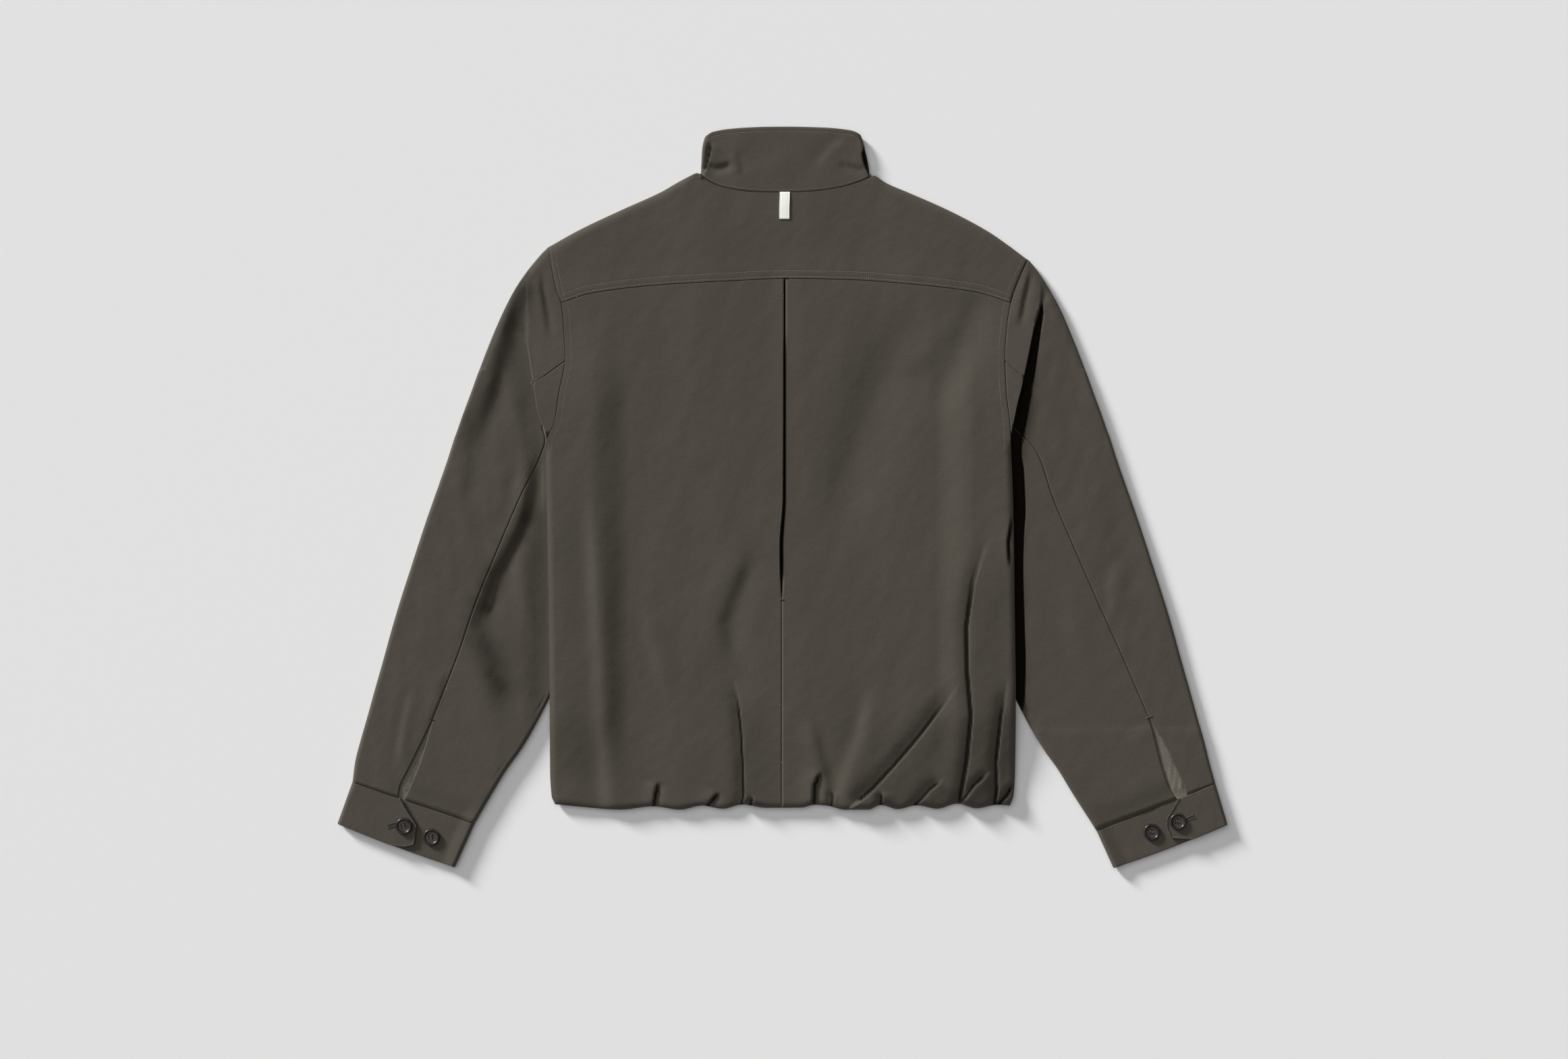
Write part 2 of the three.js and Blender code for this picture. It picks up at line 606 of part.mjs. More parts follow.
// Under piece beside the armhole: the tongue's top, its drop at the armhole, and the cloth below.
function tongueSection(side, row, inset) {
  const mirror = side === 'left' ? -1 : 1;
  const { at, width } = sectionLine([row.seamX, row.seamY], [row.innerX, row.innerY]);
  const inwards = inset ? 1.2 : 0;
  const ring = steps(0, width - inwards, 5).map((r) => {
    const [x, y] = at(r);
    const top = sleeveTop(side, Math.min(x, foldEdge[side](y) - 1.3), y);
    return [mirror * x, y, inset ? WALL + LAY : top];
  });
  const [x, y] = at(width - inwards);
  const drop = inset ? [5.2, 4.8, 4.4, 4, 3.6, 3] : [5.4, 4.6, 3.6, 2.4, 1.2, 0];
  drop.forEach((z) => ring.push([mirror * x, y, z]));
  const seam = frontSeam(y) - SEAM / 2;
  steps(x + 0.2, seam, 3).slice(1).forEach((out) => ring.push([mirror * out, y, inset]));
  return ring;
}

// Under piece below the armpit: from the back seam round the inner fold to the front seam.
function underSection(side, row, inset) {
  const mirror = side === 'left' ? -1 : 1;
  const section = sectionLine([row.outerX, row.outerY], [row.innerX, row.innerY]);
  const { at, width, meets } = section;
  const start = meets(backSeam[`${side}Under`]);
  const covered = meets(foldEdge[side]);
  const height = mix(SQUEEZED, THICK, smooth(width + 2, width + 16, meets(foldEdge[side], width + 40)));
  const bend = height / 2;
  const limit = width - bend - 4;
  const edge = Math.max(Math.min(covered, limit), start + 4);
  const rise = Math.max(edge - 16, mix(start, edge, 0.4));
  const stops = [start, mix(start, rise, 0.5), rise, mix(rise, edge, 0.5), edge - 1, edge];
  stops.push(edge + 1.5, mix(edge, width - bend, 0.6), width - bend);
  const ring = stops.map((r) => {
    const [x, y] = at(r);
    const top = Math.min(sleeveTop(side, x, y), mix(THICK, height, smooth(edge - 8, edge, r)));
    return [mirror * x, y, inset ? top - WALL : top];
  });
  halfRound(bend, height, Math.min(inset, bend - 0.3)).forEach(({ out, z }) => {
    const [x, y] = at(width - bend + out);
    ring.push([mirror * x, y, z]);
  });
  const seam = meets(frontSeam) + SEAM / 2;
  steps(width - bend, Math.min(seam, width - bend - 2), 2).forEach((r) => {
    const [x, y] = at(r);
    ring.push([mirror * x, y, inset]);
  });
  return ring;
}

function sleeveUnderGeometry(side) {
  const sections = (inset) => [
    ...TONGUES[side].map((row) => tongueSection(side, row, inset)),
    ...SLEEVE.map((row) => underSection(side, row, inset)),
  ];
  const inner = sections(WALL);
  return wall(sections(0).map((ring, i) => ring.map((outer, j) => ({ outer, inner: inner[i][j] }))));
}

// Corduroy strip behind the slit above the cuff.
function placketGeometry(side) {
  const mirror = side === 'left' ? -1 : 1;
  const [from, to, beyond, low, high] = [-234, -307, 5, WALL + SEAM, WALL + LAY - SEAM];
  const place = (u, v) => {
    const y = mix(from, to, v);
    const x = mix(backSeam[`${side}Top`](y) + beyond, backSeam[`${side}Under`](y) - beyond, u);
    return [mirror * x, y - 14 * (u - 0.5)];
  };
  return panel(steps(0, 1, 8), steps(0, 1, 4), place, () => high, () => low);
}

// ---------------------------------------------------------------- cuffs and buttons

const CUFF = {
  seamOuter: [451.4, -297.8],
  seamInner: [322.4, -342.4],
  hemOuter: [465.3, -341.4],
  hemInner: [344.5, -386.4],
};
// The pointed end of the cuff's upper lap: its place across the cuff, at shares of the depth.
const LAP = table(['depth', 'left', 'right'], [
  [0, 0.385, 0.285], [0.2, 0.51, 0.4], [0.38, 0.592, 0.465],
  [0.7, 0.605, 0.475], [0.86, 0.54, 0.41], [1, 0.43, 0.3],
]);
const lapEnd = { left: line(LAP, 'depth', 'left'), right: line(LAP, 'depth', 'right') };

// A place on the cuff: share across from the outer fold, share down from the seam.
function onCuff(side, across, down) {
  const mirror = side === 'left' ? -1 : 1;
  const { seamOuter, seamInner, hemOuter, hemInner } = CUFF;
  const between = (outer, inner, k) => mix(outer[k], inner[k], across);
  const at = (k) => mix(between(seamOuter, seamInner, k), between(hemOuter, hemInner, k), down);
  return [mirror * at(0), at(1)];
}

// The cuff: one band from the lap's point round both folds to its end below the lap.
function cuffGeometry(side) {
  const width = 131;
  const bend = THICK / 2 / width;
  const lapped = THICK - CUFF_WALL - SEAM;
  const ring = (down, inset) => {
    const end = lapEnd[side](down);
    const points = [];
    const push = (across, z) => points.push([...onCuff(side, across, down), z]);
    const upper = inset ? Math.min(THICK - CUFF_WALL, CUFF_WALL + LAY + 0.4) : THICK;
    steps(end, bend, 4).forEach((across) => push(across, upper));
    const turns = halfRound(bend, THICK, inset);
    turns.forEach(({ out, z }) => push(bend - out, z));
    steps(bend, 1 - bend, 4).forEach((across) => push(across, inset));
    [...turns].reverse().forEach(({ out, z }) => push(1 - bend + out, z));
    [1 - bend, 0.93, 0.89, 0.75, end + 0.01, end - 0.1].forEach((across) => {
      push(across, mix(THICK, lapped, smooth(1 - bend, 0.88, across)) - inset);
    });
    return points;
  };
  const downs = [0.002, 0.2, 0.38, 0.7, 0.86, 1];
  return wall(downs.map((down) => {
    const inner = ring(down, CUFF_WALL);
    return ring(down, 0).map((outer, i) => ({ outer, inner: inner[i] }));
  }));
}

function toSolid(geometry) {
  const index = geometry.getIndex();
  return new wasm.Manifold(new wasm.Mesh({
    numProp: 3,
    vertProperties: new Float32Array(geometry.getAttribute('position').array),
    triVerts: new Uint32Array(index.array),
  }));
}

function fromSolid(solid) {
  const { vertProperties, triVerts } = solid.getMesh();
  return outward(Array.from(vertProperties), Array.from(triVerts));
}

// A turned solid: a profile of radius and height, from axis to axis.
function turned(profile, around) {
  const positions = [];
  const index = [];
  const rims = profile.slice(1, -1);
  rims.forEach(([radius, z]) => {
    for (let i = 0; i < around; i += 1) {
      const angle = (2 * Math.PI * i) / around;
      positions.push(radius * Math.cos(angle), radius * Math.sin(angle), z);
    }
  });
  positions.push(0, 0, profile[0][1], 0, 0, profile[profile.length - 1][1]);
  const [first, last] = [rims.length * around, rims.length * around + 1];
  for (let i = 0; i < around; i += 1) {
    const next = (i + 1) % around;
    index.push(first, next, i);
    index.push(last, (rims.length - 1) * around + i, (rims.length - 1) * around + next);
    for (let k = 0; k < rims.length - 1; k += 1) {
      const [low, high] = [k * around, (k + 1) * around];
      index.push(low + i, low + next, high + next, low + i, high + next, high + i);
    }
  }
  return outward(positions, index);
}

// A four-hole button with a raised rim, lying face up.
function buttonGeometry() {
  const radius = BUTTON_DIAMETER / 2;
  const profile = [
    [0, 0], [radius - 1.6, 0], [radius, 1.3], [radius - 0.5, 2.7], [radius - 1.5, BUTTON_THICK],
    [radius - 2.8, 2.5], [0, 2],
  ];
  let solid = toSolid(turned(profile, 16));
  const [holeRadius, holeOut] = [0.95, 1.75];
  for (let i = 0; i < 4; i += 1) {
    const angle = Math.PI / 4 + (i * Math.PI) / 2;
    const drill = turned([[0, -1], [holeRadius, -1], [holeRadius, 5], [0, 5]], 6);
    drill.translate(holeOut * Math.cos(angle), holeOut * Math.sin(angle), 0);
    solid = solid.subtract(toSolid(drill));
  }
  return fromSolid(solid);
}

const BUTTONS = table(['name', 'x', 'y', 'z', 'turn'], [
  ['button_left_lap', -395.3, -343.3, THICK + SEAM, 0.35],
  ['button_left_spare', -366.8, -355.4, THICK - CUFF_WALL, 0.1],
  ['button_right_lap', 413.3, -338.6, THICK + SEAM, -0.3],
  ['button_right_spare', 386, -349.8, THICK - CUFF_WALL, -0.1],
]);

// ---------------------------------------------------------------- the jacket

const surface = (color, roughness, metalness = 0) => (
  () => new THREE.MeshStandardMaterial({ color, roughness, metalness })
);
const cloth = surface(0x4c4840, 0.92);
const corduroy = surface(0x4b4741, 0.95);
const paleTape = surface(0xebece6, 0.7);
const horn = surface(0x2a2420, 0.3);
const zipMetal = surface(0x4a4640, 0.45, 0.6);

const jacket = new THREE.Group();

function add(name, geometry, material, at = [0, 0, 0], turn = 0) {
  const mesh = new THREE.Mesh(geometry, material);
  mesh.name = name;
  mesh.position.set(...at);
  mesh.rotation.z = turn;
  jacket.add(mesh);
}

add('yoke', yokeGeometry(), cloth());
add('pleat_underlay', pleatGeometry(), cloth());
add('collar', collarGeometry(), cloth());
add('neck_tab', tapeGeometry(), paleTape());
add('zip_chain', zipGeometry(), zipMetal());
add('zip_slider', sliderGeometry(), zipMetal());
for (const side of ['left', 'right']) {
  add(`back_${side}`, backGeometry(side), cloth());
  add(`front_${side}`, frontGeometry(side), cloth());
  add(`sleeve_top_${side}`, sleeveTopGeometry(side), cloth());
  add(`sleeve_under_${side}`, sleeveUnderGeometry(side), cloth());
  add(`placket_${side}`, placketGeometry(side), corduroy());
  add(`cuff_${side}`, cuffGeometry(side), cloth());
}
for (const { name, x, y, z, turn } of BUTTONS) add(name, buttonGeometry(), horn(), [x, y, z], turn);

export default jacket;
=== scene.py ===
# A harrington jacket laid flat on its front, back up, seen from straight above.
# Sizes in the sections below are millimetres in the frame's axes; meshes are in metres.
import json
import math
from collections import namedtuple

import bpy
import numpy as np
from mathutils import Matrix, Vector
from mathutils.bvhtree import BVHTree

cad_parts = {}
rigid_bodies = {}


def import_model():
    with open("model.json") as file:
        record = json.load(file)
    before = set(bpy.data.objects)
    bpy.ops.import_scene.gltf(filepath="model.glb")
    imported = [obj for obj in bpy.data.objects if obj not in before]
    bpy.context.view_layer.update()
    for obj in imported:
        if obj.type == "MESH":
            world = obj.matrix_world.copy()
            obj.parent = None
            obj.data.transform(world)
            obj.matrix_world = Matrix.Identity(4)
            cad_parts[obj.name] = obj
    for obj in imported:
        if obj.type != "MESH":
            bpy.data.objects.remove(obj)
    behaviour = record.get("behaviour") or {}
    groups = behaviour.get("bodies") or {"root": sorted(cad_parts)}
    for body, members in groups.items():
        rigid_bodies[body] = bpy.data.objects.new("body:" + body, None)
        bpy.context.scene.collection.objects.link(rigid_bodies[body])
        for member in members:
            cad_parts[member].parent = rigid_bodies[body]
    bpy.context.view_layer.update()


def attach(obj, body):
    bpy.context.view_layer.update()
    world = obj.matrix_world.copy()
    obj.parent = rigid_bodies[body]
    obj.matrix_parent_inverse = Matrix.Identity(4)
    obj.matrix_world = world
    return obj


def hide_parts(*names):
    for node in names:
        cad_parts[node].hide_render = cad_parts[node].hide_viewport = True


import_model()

# ------------------------------------------------------------------ view, light and floor
# The garment lies on a pale sweep. The camera looks straight down on it. A low key lamp
# from the upper left rakes across the folds, a broad one above it and an even fill soften it.
MM = 0.001
VIEW_WIDTH = 1643.0
VIEW_CENTRE = (1.8, -33.9)
CAMERA_HEIGHT = 3300.0
LAMP_TURN = math.radians(136)
# Name, elevation in degrees, strength, and softness as an angle in degrees.
LAMPS = [("key", 17, 5.3, 12), ("broad", 70, 1.27, 70)]
FILL_STRENGTH = 0.105
FLOOR_COLOUR = (0.765, 0.765, 0.765)
FLOOR_HALF = 6.0
FLOOR_LEVEL = -0.0004
SENSOR_WIDTH = 36

camera_data = bpy.data.cameras.new("camera")
camera_data.sensor_width = SENSOR_WIDTH
camera_data.lens = SENSOR_WIDTH * CAMERA_HEIGHT / VIEW_WIDTH
camera_data.clip_end = 50
camera = bpy.data.objects.new("camera", camera_data)
camera.location = (VIEW_CENTRE[0] * MM, VIEW_CENTRE[1] * MM, CAMERA_HEIGHT * MM)
bpy.context.collection.objects.link(camera)
bpy.context.scene.camera = camera

for name, elevation, strength, softness in LAMPS:
    lamp_data = bpy.data.lights.new(name, "SUN")
    lamp_data.energy = strength
    lamp_data.angle = math.radians(softness)
    lamp = bpy.data.objects.new(name, lamp_data)
    level, rise = math.cos(math.radians(elevation)), math.sin(math.radians(elevation))
    towards = Vector((math.cos(LAMP_TURN) * level, math.sin(LAMP_TURN) * level, rise))
    lamp.rotation_euler = towards.to_track_quat("Z", "Y").to_euler()
    bpy.context.collection.objects.link(lamp)

world = bpy.data.worlds.new("studio")
world.use_nodes = True
background = world.node_tree.nodes["Background"]
background.inputs["Color"].default_value = (1, 1, 1, 1)
background.inputs["Strength"].default_value = FILL_STRENGTH
bpy.context.scene.world = world
bpy.context.scene.view_settings.view_transform = "Standard"
bpy.context.scene.view_settings.look = "None"


class Graph:
    """A node tree whose nodes are made by one call each and whose sockets add and multiply."""

    def __init__(self, tree):
        self.tree = tree

    def node(self, kind, out=0, settings=None, **inputs):
        """Makes a node, its inputs given by name, or as in0, in1 and so on by place."""
        made = self.tree.nodes.new(kind)
        for setting, value in (settings or {}).items():
            setattr(made, setting, value)
        for socket, value in inputs.items():
            by_place = socket.startswith("in") and socket[2:].isdigit()
            self.feed(made.inputs[int(socket[2:]) if by_place else socket.replace("_", " ")], value)
        return Value(self, made.outputs[out])

    def feed(self, socket, value):
        if isinstance(value, Value):
            self.tree.links.new(value.socket, socket)
        else:
            socket.default_value = value


class Shader(Graph):
    """One material and the patterns its surface is made of."""

    def __init__(self, name, roughness=0.9, **fixed):
        self.material = bpy.data.materials.new(name)
        self.material.use_nodes = True
        super().__init__(self.material.node_tree)
        self.surface = self.tree.nodes["Principled BSDF"]
        self.surface.inputs["Roughness"].default_value = roughness
        for socket, value in fixed.items():
            self.surface.inputs[socket.replace("_", " ")].default_value = value

    def surface_input(self, socket, value):
        self.feed(self.surface.inputs[socket], value)

    def shaded(self, share):
        """Paints shade: mixes in a dull, nearly black surface where the share is 1."""
        dull = self.node("ShaderNodeBsdfDiffuse", Color=(0.004, 0.0035, 0.003, 1))
        surface = Value(self, self.surface.outputs["BSDF"])
        both = self.node("ShaderNodeMixShader", in0=share, in1=surface, in2=dull)
        self.feed(self.tree.nodes["Material Output"].inputs["Surface"], both)

    def attribute(self, name):
        return self.node("ShaderNodeAttribute", out="Fac", settings={"attribute_name": name})

    def noise(self, scale, detail=2.0, rough=0.5, stretch=(1, 1, 1), turn=0.0):
        """Noise in Object coordinates, drawn out and turned as the threads run."""
        at = self.node("ShaderNodeTexCoord", out="Object")
        place = self.node("ShaderNodeMapping", Vector=at, Scale=stretch, Rotation=(0, 0, turn))
        return self.node("ShaderNodeTexNoise", Vector=place, Scale=scale, Detail=detail,
                         Roughness=rough)

    def blend(self, low, high, share):
        return self.node("ShaderNodeMix", out=2, settings={"data_type": "RGBA"}, in0=share,
                         in6=low, in7=high)

    def ramp(self, value, low, high):
        return self.node("ShaderNodeMapRange", Value=value, From_Min=low, From_Max=high)

    def bump(self, *layers):
        normal = None
        for height, depth in layers:
            given = {"Height": height, "Distance": depth, "Strength": 1.0}
            if normal is not None:
                given["Normal"] = normal
            normal = self.node("ShaderNodeBump", **given)
        self.surface_input("Normal", normal)


class Value:
    """A socket that takes part in sums."""

    def __init__(self, graph, socket):
        self.graph = graph
        self.socket = socket

    def maths(self, operation, other, swapped=False):
        first, last = (other, self) if swapped else (self, other)
        return self.graph.node("ShaderNodeMath", settings={"operation": operation}, in0=first,
                               in1=last)

    def __add__(self, other):
        return self.maths("ADD", other)

    def __radd__(self, other):
        return self.maths("ADD", other, True)

    def __mul__(self, other):
        return self.maths("MULTIPLY", other)

    def __rmul__(self, other):
        return self.maths("MULTIPLY", other, True)


def tinted(colour, share=1):
    """A colour made darker or lighter, with full alpha."""
    return tuple(share * c for c in colour) + (1,)


def floor_material():
    shader = Shader("pale_sweep", roughness=0.85)
    grain = shader.noise(180, detail=3)
    shader.surface_input("Base Color",
                         shader.blend(tinted(FLOOR_COLOUR), tinted(FLOOR_COLOUR, 0.985), grain))
    return shader.material


floor_mesh = bpy.data.meshes.new("floor")
floor_mesh.from_pydata([(x * FLOOR_HALF, y * FLOOR_HALF, FLOOR_LEVEL)
                        for x, y in ((-1, -1), (1, -1), (1, 1), (-1, 1))], [], [(0, 1, 2, 3)])
floor_mesh.materials.append(floor_material())
floor = bpy.data.objects.new("floor", floor_mesh)
bpy.context.collection.objects.link(floor)

# ------------------------------------------------------------------ back panels
# Two back panels of fine plain-weave cloth, joined at the centre below an inverted pleat
# that stands open. They lie on the fronts, are raised at the sides by the sleeves below
# them, and blouse over a gathered hem, which sends the folds up the cloth.

# WALL is one layer of shell and lining, LAY the hollow between two of them. SQUEEZED is a
# sleeve's thickness where the body lies on it, and LIFT how far it raises the body there.
WALL = 2.5
LAY = 3.8
THICK = 2 * WALL + LAY
SEAM = 0.3
SQUEEZED = 2 * WALL + 0.6
LIFT = SQUEEZED + SEAM
# RIM_GAP parts upper and lower cloth at a turned rim, EDGE_GAP keeps an edge off its seam line.
RIM_GAP = 0.25
EDGE_GAP = 0.1
CLOTH = 0.9
CLOTH_COLOUR = (0.0545, 0.0472, 0.0362)
HEM_LEVEL = -324
HEM_GATHERS = -310
YOKE_LEVEL = 215
DEEP_SHADE = 0.95
ARMHOLE_DIP = {-1: 0.2, 1: 0.4}
SIDES = {-1: "left", 1: "right"}


def table(columns, rows):
    """A short table as one array for each named column."""
    return {column: np.array([row[i] for row in rows], float) for i, column in enumerate(columns)}


def line(rows, key, column):
    """A smooth line through a table's rows that doesn't overshoot between them."""
    order = np.argsort(rows[key])
    xs, ys = rows[key][order], rows[column][order]
    slopes = np.diff(ys) / np.diff(xs)
    before, after = slopes[:-1], slopes[1:]
    same = before * after > 0
    inner = np.where(same, 2 * before * after / np.where(same, before + after, 1), 0)
    tangents = np.concatenate([slopes[:1], inner, slopes[-1:]])

    def at(x):
        x = np.asarray(x, float)
        i = np.clip(np.searchsorted(xs, x, side="right") - 1, 0, len(xs) - 2)
        span = xs[i + 1] - xs[i]
        t = np.clip((x - xs[i]) / span, 0, 1)
        curve = ((1 + 2 * t) * (1 - t) ** 2 * ys[i] + t * (1 - t) ** 2 * span * tangents[i]
                 + t * t * (3 - 2 * t) * ys[i + 1] - t * t * (1 - t) * span * tangents[i + 1])
        below = tangents[0] * np.minimum(x - xs[0], 0)
        above = tangents[-1] * np.maximum(x - xs[-1], 0)
        return curve + below + above

    return at


def mix(a, b, t):
    return a + (b - a) * t


def smooth(start, end, value):
    t = np.clip((value - start) / (end - start), 0, 1)
    return t * t * (3 - 2 * t)


def spread(start, end, pitch):
    """Evenly spaced values, about a pitch apart."""
    return np.linspace(start, end, max(2, int(round(abs(end - start) / pitch)) + 1))


BODY_SIDES = table(("y", "left", "right"), [
    (263, -244.8, 264), (248, -242.4, 257), (229, -239, 248.4), (213, -235.2, 242),
    (203, -231, 239), (179, -228.5, 235), (145, -227, 232.6), (106, -233.5, 234),
    (79, -237.5, 237.6), (54, -247, 238.6), (28, -247, 240), (-41, -245.5, 242),
    (-130, -244, 243), (-209, -243, 244), (-285, -243, 243.6), (-312, -241.5, 242),
    (-323, -237, 238)])
YOKE_SEAM = table(("x", "y"), [
    (-246, 199), (-231, 203.5), (-200, 213), (-131, 221.5), (-52, 226), (2, 228.4),
    (74, 227), (129, 223), (201, 214.5), (239, 203), (257, 198)])
HEM = table(("x", "y"), [
    (-241, -321), (-205, -324.5), (-170, -327), (-135, -323.5), (-107, -327), (-84, -322.7),
    (-62, -326), (-42, -321.5), (-18, -325), (20, -324.8), (34, -321.8), (48, -322.9),
    (65, -327), (90, -327), (103, -322), (121, -326.4), (140, -322.4), (162, -326),
    (183, -320.6), (203, -325.6), (225, -321.8), (241, -323)])
CENTRE = table(("y", "x", "half"), [
    (229, 2.5, 0.9), (110, 2.5, 0.9), (0, 2.3, 1.1), (-52, -0.7, 1.5),
    (-92, -0.6, 0.9), (-107, -0.5, 0.1), (-325, -0.6, 0.1)])
side_line = {side: line(BODY_SIDES, "y", word) for side, word in SIDES.items()}
yoke_seam = line(YOKE_SEAM, "x", "y")
hem_line = line(HEM, "x", "y")
centre_line = line(CENTRE, "y", "x")
slit_half = line(CENTRE, "y", "half")

# A fold: the side of its path that the trough lies on (1 is left), the trough's depth and
# width, the crest's height and width, the width of the step between them, and the path.
# A sharp fold has a band of painted shade of a stated width. An open end doesn't fade out.
Fold = namedtuple("Fold", "side trough width crest run edge path dark open_end",
                  defaults=(None, False))
FOLDS = [
    Fold(-1, 3.4, 10, 3.2, 30, 0.6, [(224, -36), (212, -52), (200, -87), (193, -137), (194, -182),
         (198, -229), (194, -276), (187, -317)], dark=3.0),
    Fold(-1, 3.3, 11, 3.6, 26, 0.6, [(186, -194), (172, -212), (152, -239), (136, -259),
         (117, -281), (95, -305), (82, -316)], dark=2.2),
    Fold(-1, 2.6, 8, 2.8, 14, 0.6, [(169, -294), (154, -306), (140, -322)], dark=1.7),
    Fold(-1, 2.8, 8, 2.2, 12, 0.6, [(236, -189), (229, -228), (224, -278), (225, -305),
         (223, -324)], dark=2.2),
    Fold(-1, 2.5, 7, 2.6, 10, 0.6, [(218, -286), (201, -301), (187, -319)], dark=1.9),
    Fold(-1, 2.8, 9, 3.0, 24, 0.6, [(-51, -188), (-46, -215), (-43, -242), (-41, -278), (-40, -310),
         (-42, -321)], dark=1.7),
    Fold(-1, 2.2, 22, 2.8, 24, 8, [(-209, 24), (-200, -48), (-196, -123), (-193, -170),
         (-191, -242), (-185, -323)]),
    Fold(1, 2.4, 6, 1.6, 12, 1.2, [(-130, -296), (-135, -325)], dark=1.2),
    Fold(1, 2.0, 6, 1.6, 12, 1, [(-66, -308), (-79, -323)], dark=1.2),
    Fold(1, 2.6, 8, 2.0, 12, 0.8, [(40, -285), (34, -300), (32, -320)], dark=1.6),
    Fold(-1, 2.0, 5, 1.6, 8, 0.8, [(53, -306), (51, -326)], dark=1.6),
    Fold(-1, 2.0, 5, 1.6, 8, 0.8, [(-30, -312), (-34, -326)], dark=1.4),
    Fold(-1, 2.4, 6, 2.0, 8, 0.8, [(104, -308), (104, -323)], dark=1.4),
    Fold(-1, 1.8, 16, 2.2, 20, 8, [(94, -193), (80, -251), (64, -292), (57, -320)]),
    Fold(1, 2.6, 18, 2.2, 28, 9, [(-28, -44), (-45, -88), (-61, -130), (-51, -188)]),
    Fold(1, 1.2, 26, 1.4, 26, 12, [(187, 186), (160, 145), (112, 118)]),
    Fold(-1, 3.4, 26, -3.4, 30, 14, [(160, 205), (126, 160), (98, 110), (80, 50), (64, -10),
         (50, -70)]),
    Fold(-1, 1.9, 13, -1.9, 15, 6, [(219, 228), (202, 196), (194, 172), (184, 139), (169, 112),
         (158, 78)]),
    Fold(-1, 2.4, 6, 2.0, 8, 0.8, [(243, -300), (236, -312), (226, -323)], dark=2.4),
    Fold(1, 2.0, 4, 0.8, 7, 0.8, [(240, -16), (235, -48), (237, -76)], dark=1.8),
    Fold(1, 1.2, 12, 1.8, 14, 5, [(30, -225), (36, -250), (45, -285), (52, -320)]),
    Fold(-1, 1.4, 18, 1.4, 20, 9, [(-152, -110), (-136, -160), (-122, -215)]),
]


def beside(path, x, y):
    """Signed distance from a path (its left side positive) and the share of it travelled."""
    best = np.full(x.shape, 1e9)
    signed = np.zeros(x.shape)
    along = np.zeros(x.shape)
    travelled = 0.0
    for (x0, y0), (x1, y1) in zip(path, path[1:]):
        dx, dy = x1 - x0, y1 - y0
        length = math.hypot(dx, dy)
        t = np.clip(((x - x0) * dx + (y - y0) * dy) / length ** 2, 0, 1)
        distance = np.hypot(x - x0 - dx * t, y - y0 - dy * t)
        cross = dx * (y - y0) - dy * (x - x0)
        nearer = distance < best
        best = np.where(nearer, distance, best)
        signed = np.where(nearer, np.where(cross < 0, -distance, distance), signed)
        along = np.where(nearer, travelled + length * t, along)
        travelled += length
    return signed, along / travelled


def across_fold(fold, x, y, fades_from):
    """Distance across a fold, towards its crest, and its strength along the path."""
    signed, along = beside(fold.path, x, y)
    open_end = fold.open_end or fold.path[-1][1] < HEM_GATHERS
    return -fold.side * signed, smooth(0, 0.3, along) * (
        1 if open_end else smooth(1, fades_from, along))


def fold_height(x, y, folds):
    height = np.zeros(x.shape)
    for fold in folds:
        q, fade = across_fold(fold, x, y, 0.7)
        trough = -fold.trough * np.exp(-(q / fold.width) ** 2)
        crest = fold.crest * np.exp(-(q / fold.run) ** 2)
        height += fade * mix(trough, crest, 0.5 + 0.5 * np.tanh(q / fold.edge))
    return height


def fold_shade(x, y, folds):
    """How dark the folded-in cloth beside a sharp fold looks, from 0 to 1."""
    shade = np.zeros(x.shape)
    for fold in folds:
        if fold.dark:
            q, fade = across_fold(fold, x, y, 0.75)
            inside = np.exp(np.minimum(q + fold.dark, 0) / (0.4 * fold.dark))
            shade = np.maximum(shade, DEEP_SHADE * fade * (inside * (1 - smooth(0.3, 1.7, q))))
    return shade


def ripple(x, y, size, seed, stretch=1.0):
    """Soft uneven waves, about one high, from a few crossing sines with fixed phases."""
    rng = np.random.default_rng(seed)
    total = np.zeros(np.shape(x))
    for _ in range(9):
        turn = rng.uniform(0, math.pi)
        wave = size * rng.uniform(0.6, 1.7)
        phase = rng.uniform(0, 2 * math.pi)
        across = np.cos(turn) * x + np.sin(turn) * y / stretch
        bend = np.sin((np.sin(turn) * x - np.cos(turn) * y) / (2.3 * wave) + phase)
        total += np.sin(2 * math.pi * across / wave + phase + 1.2 * bend)
    return total / 4.5


def side_raise(x, share):
    return LIFT * smooth(160, 200, np.abs(x)) * share


def body_lift(x, y):
    """How far the sleeve under it raises the body's side."""
    return side_raise(x, smooth(125, 82, y) * smooth(-300, -222, y))


def body_crown(x, y):
    """The same for the upper surface, which starts to rise higher up."""
    return side_raise(x, smooth(np.where(x < 0, 190, 226), 82, y) * smooth(-300, -222, y))


def roundness(distance, radius):
    """The height of a rounded rim, from 0 at its edge to 1 at the radius."""
    return np.sqrt(np.clip(1 - (1 - np.clip(distance / radius, 0, 1)) ** 2, 0, 1))


def body_side(x, y):
    """The side line of the half that a place lies in."""
    return np.where(x < 0, side_line[-1](y), side_line[1](y))


def rim_distance(x, y):
    """Distance from the body's free edges: the hem, and the sides below the armholes."""
    from_side = np.abs(body_side(x, y) - x) + 9 * smooth(48, 66, y)
    return np.minimum(from_side, y - hem_line(x))


def body_surface(x, y):
    """The upper surface away from seams and rims: thickness, lift, folds and small waves."""
    folds = np.clip(fold_height(x, y, FOLDS), -3.6, 9)
    waves = (0.55 * ripple(x, y, 120, 3, 2.0) + 0.24 * ripple(x, y, 42, 4, 1.6)
             + 0.1 * ripple(x, y, 17, 5, 1.3))
    return THICK + body_crown(x, y) + folds + waves


def seam_dip(distance, depth=0.75):
    """How far cloth turns down beside a seam."""
    return depth * np.exp(-(distance / 0.6) ** 2)


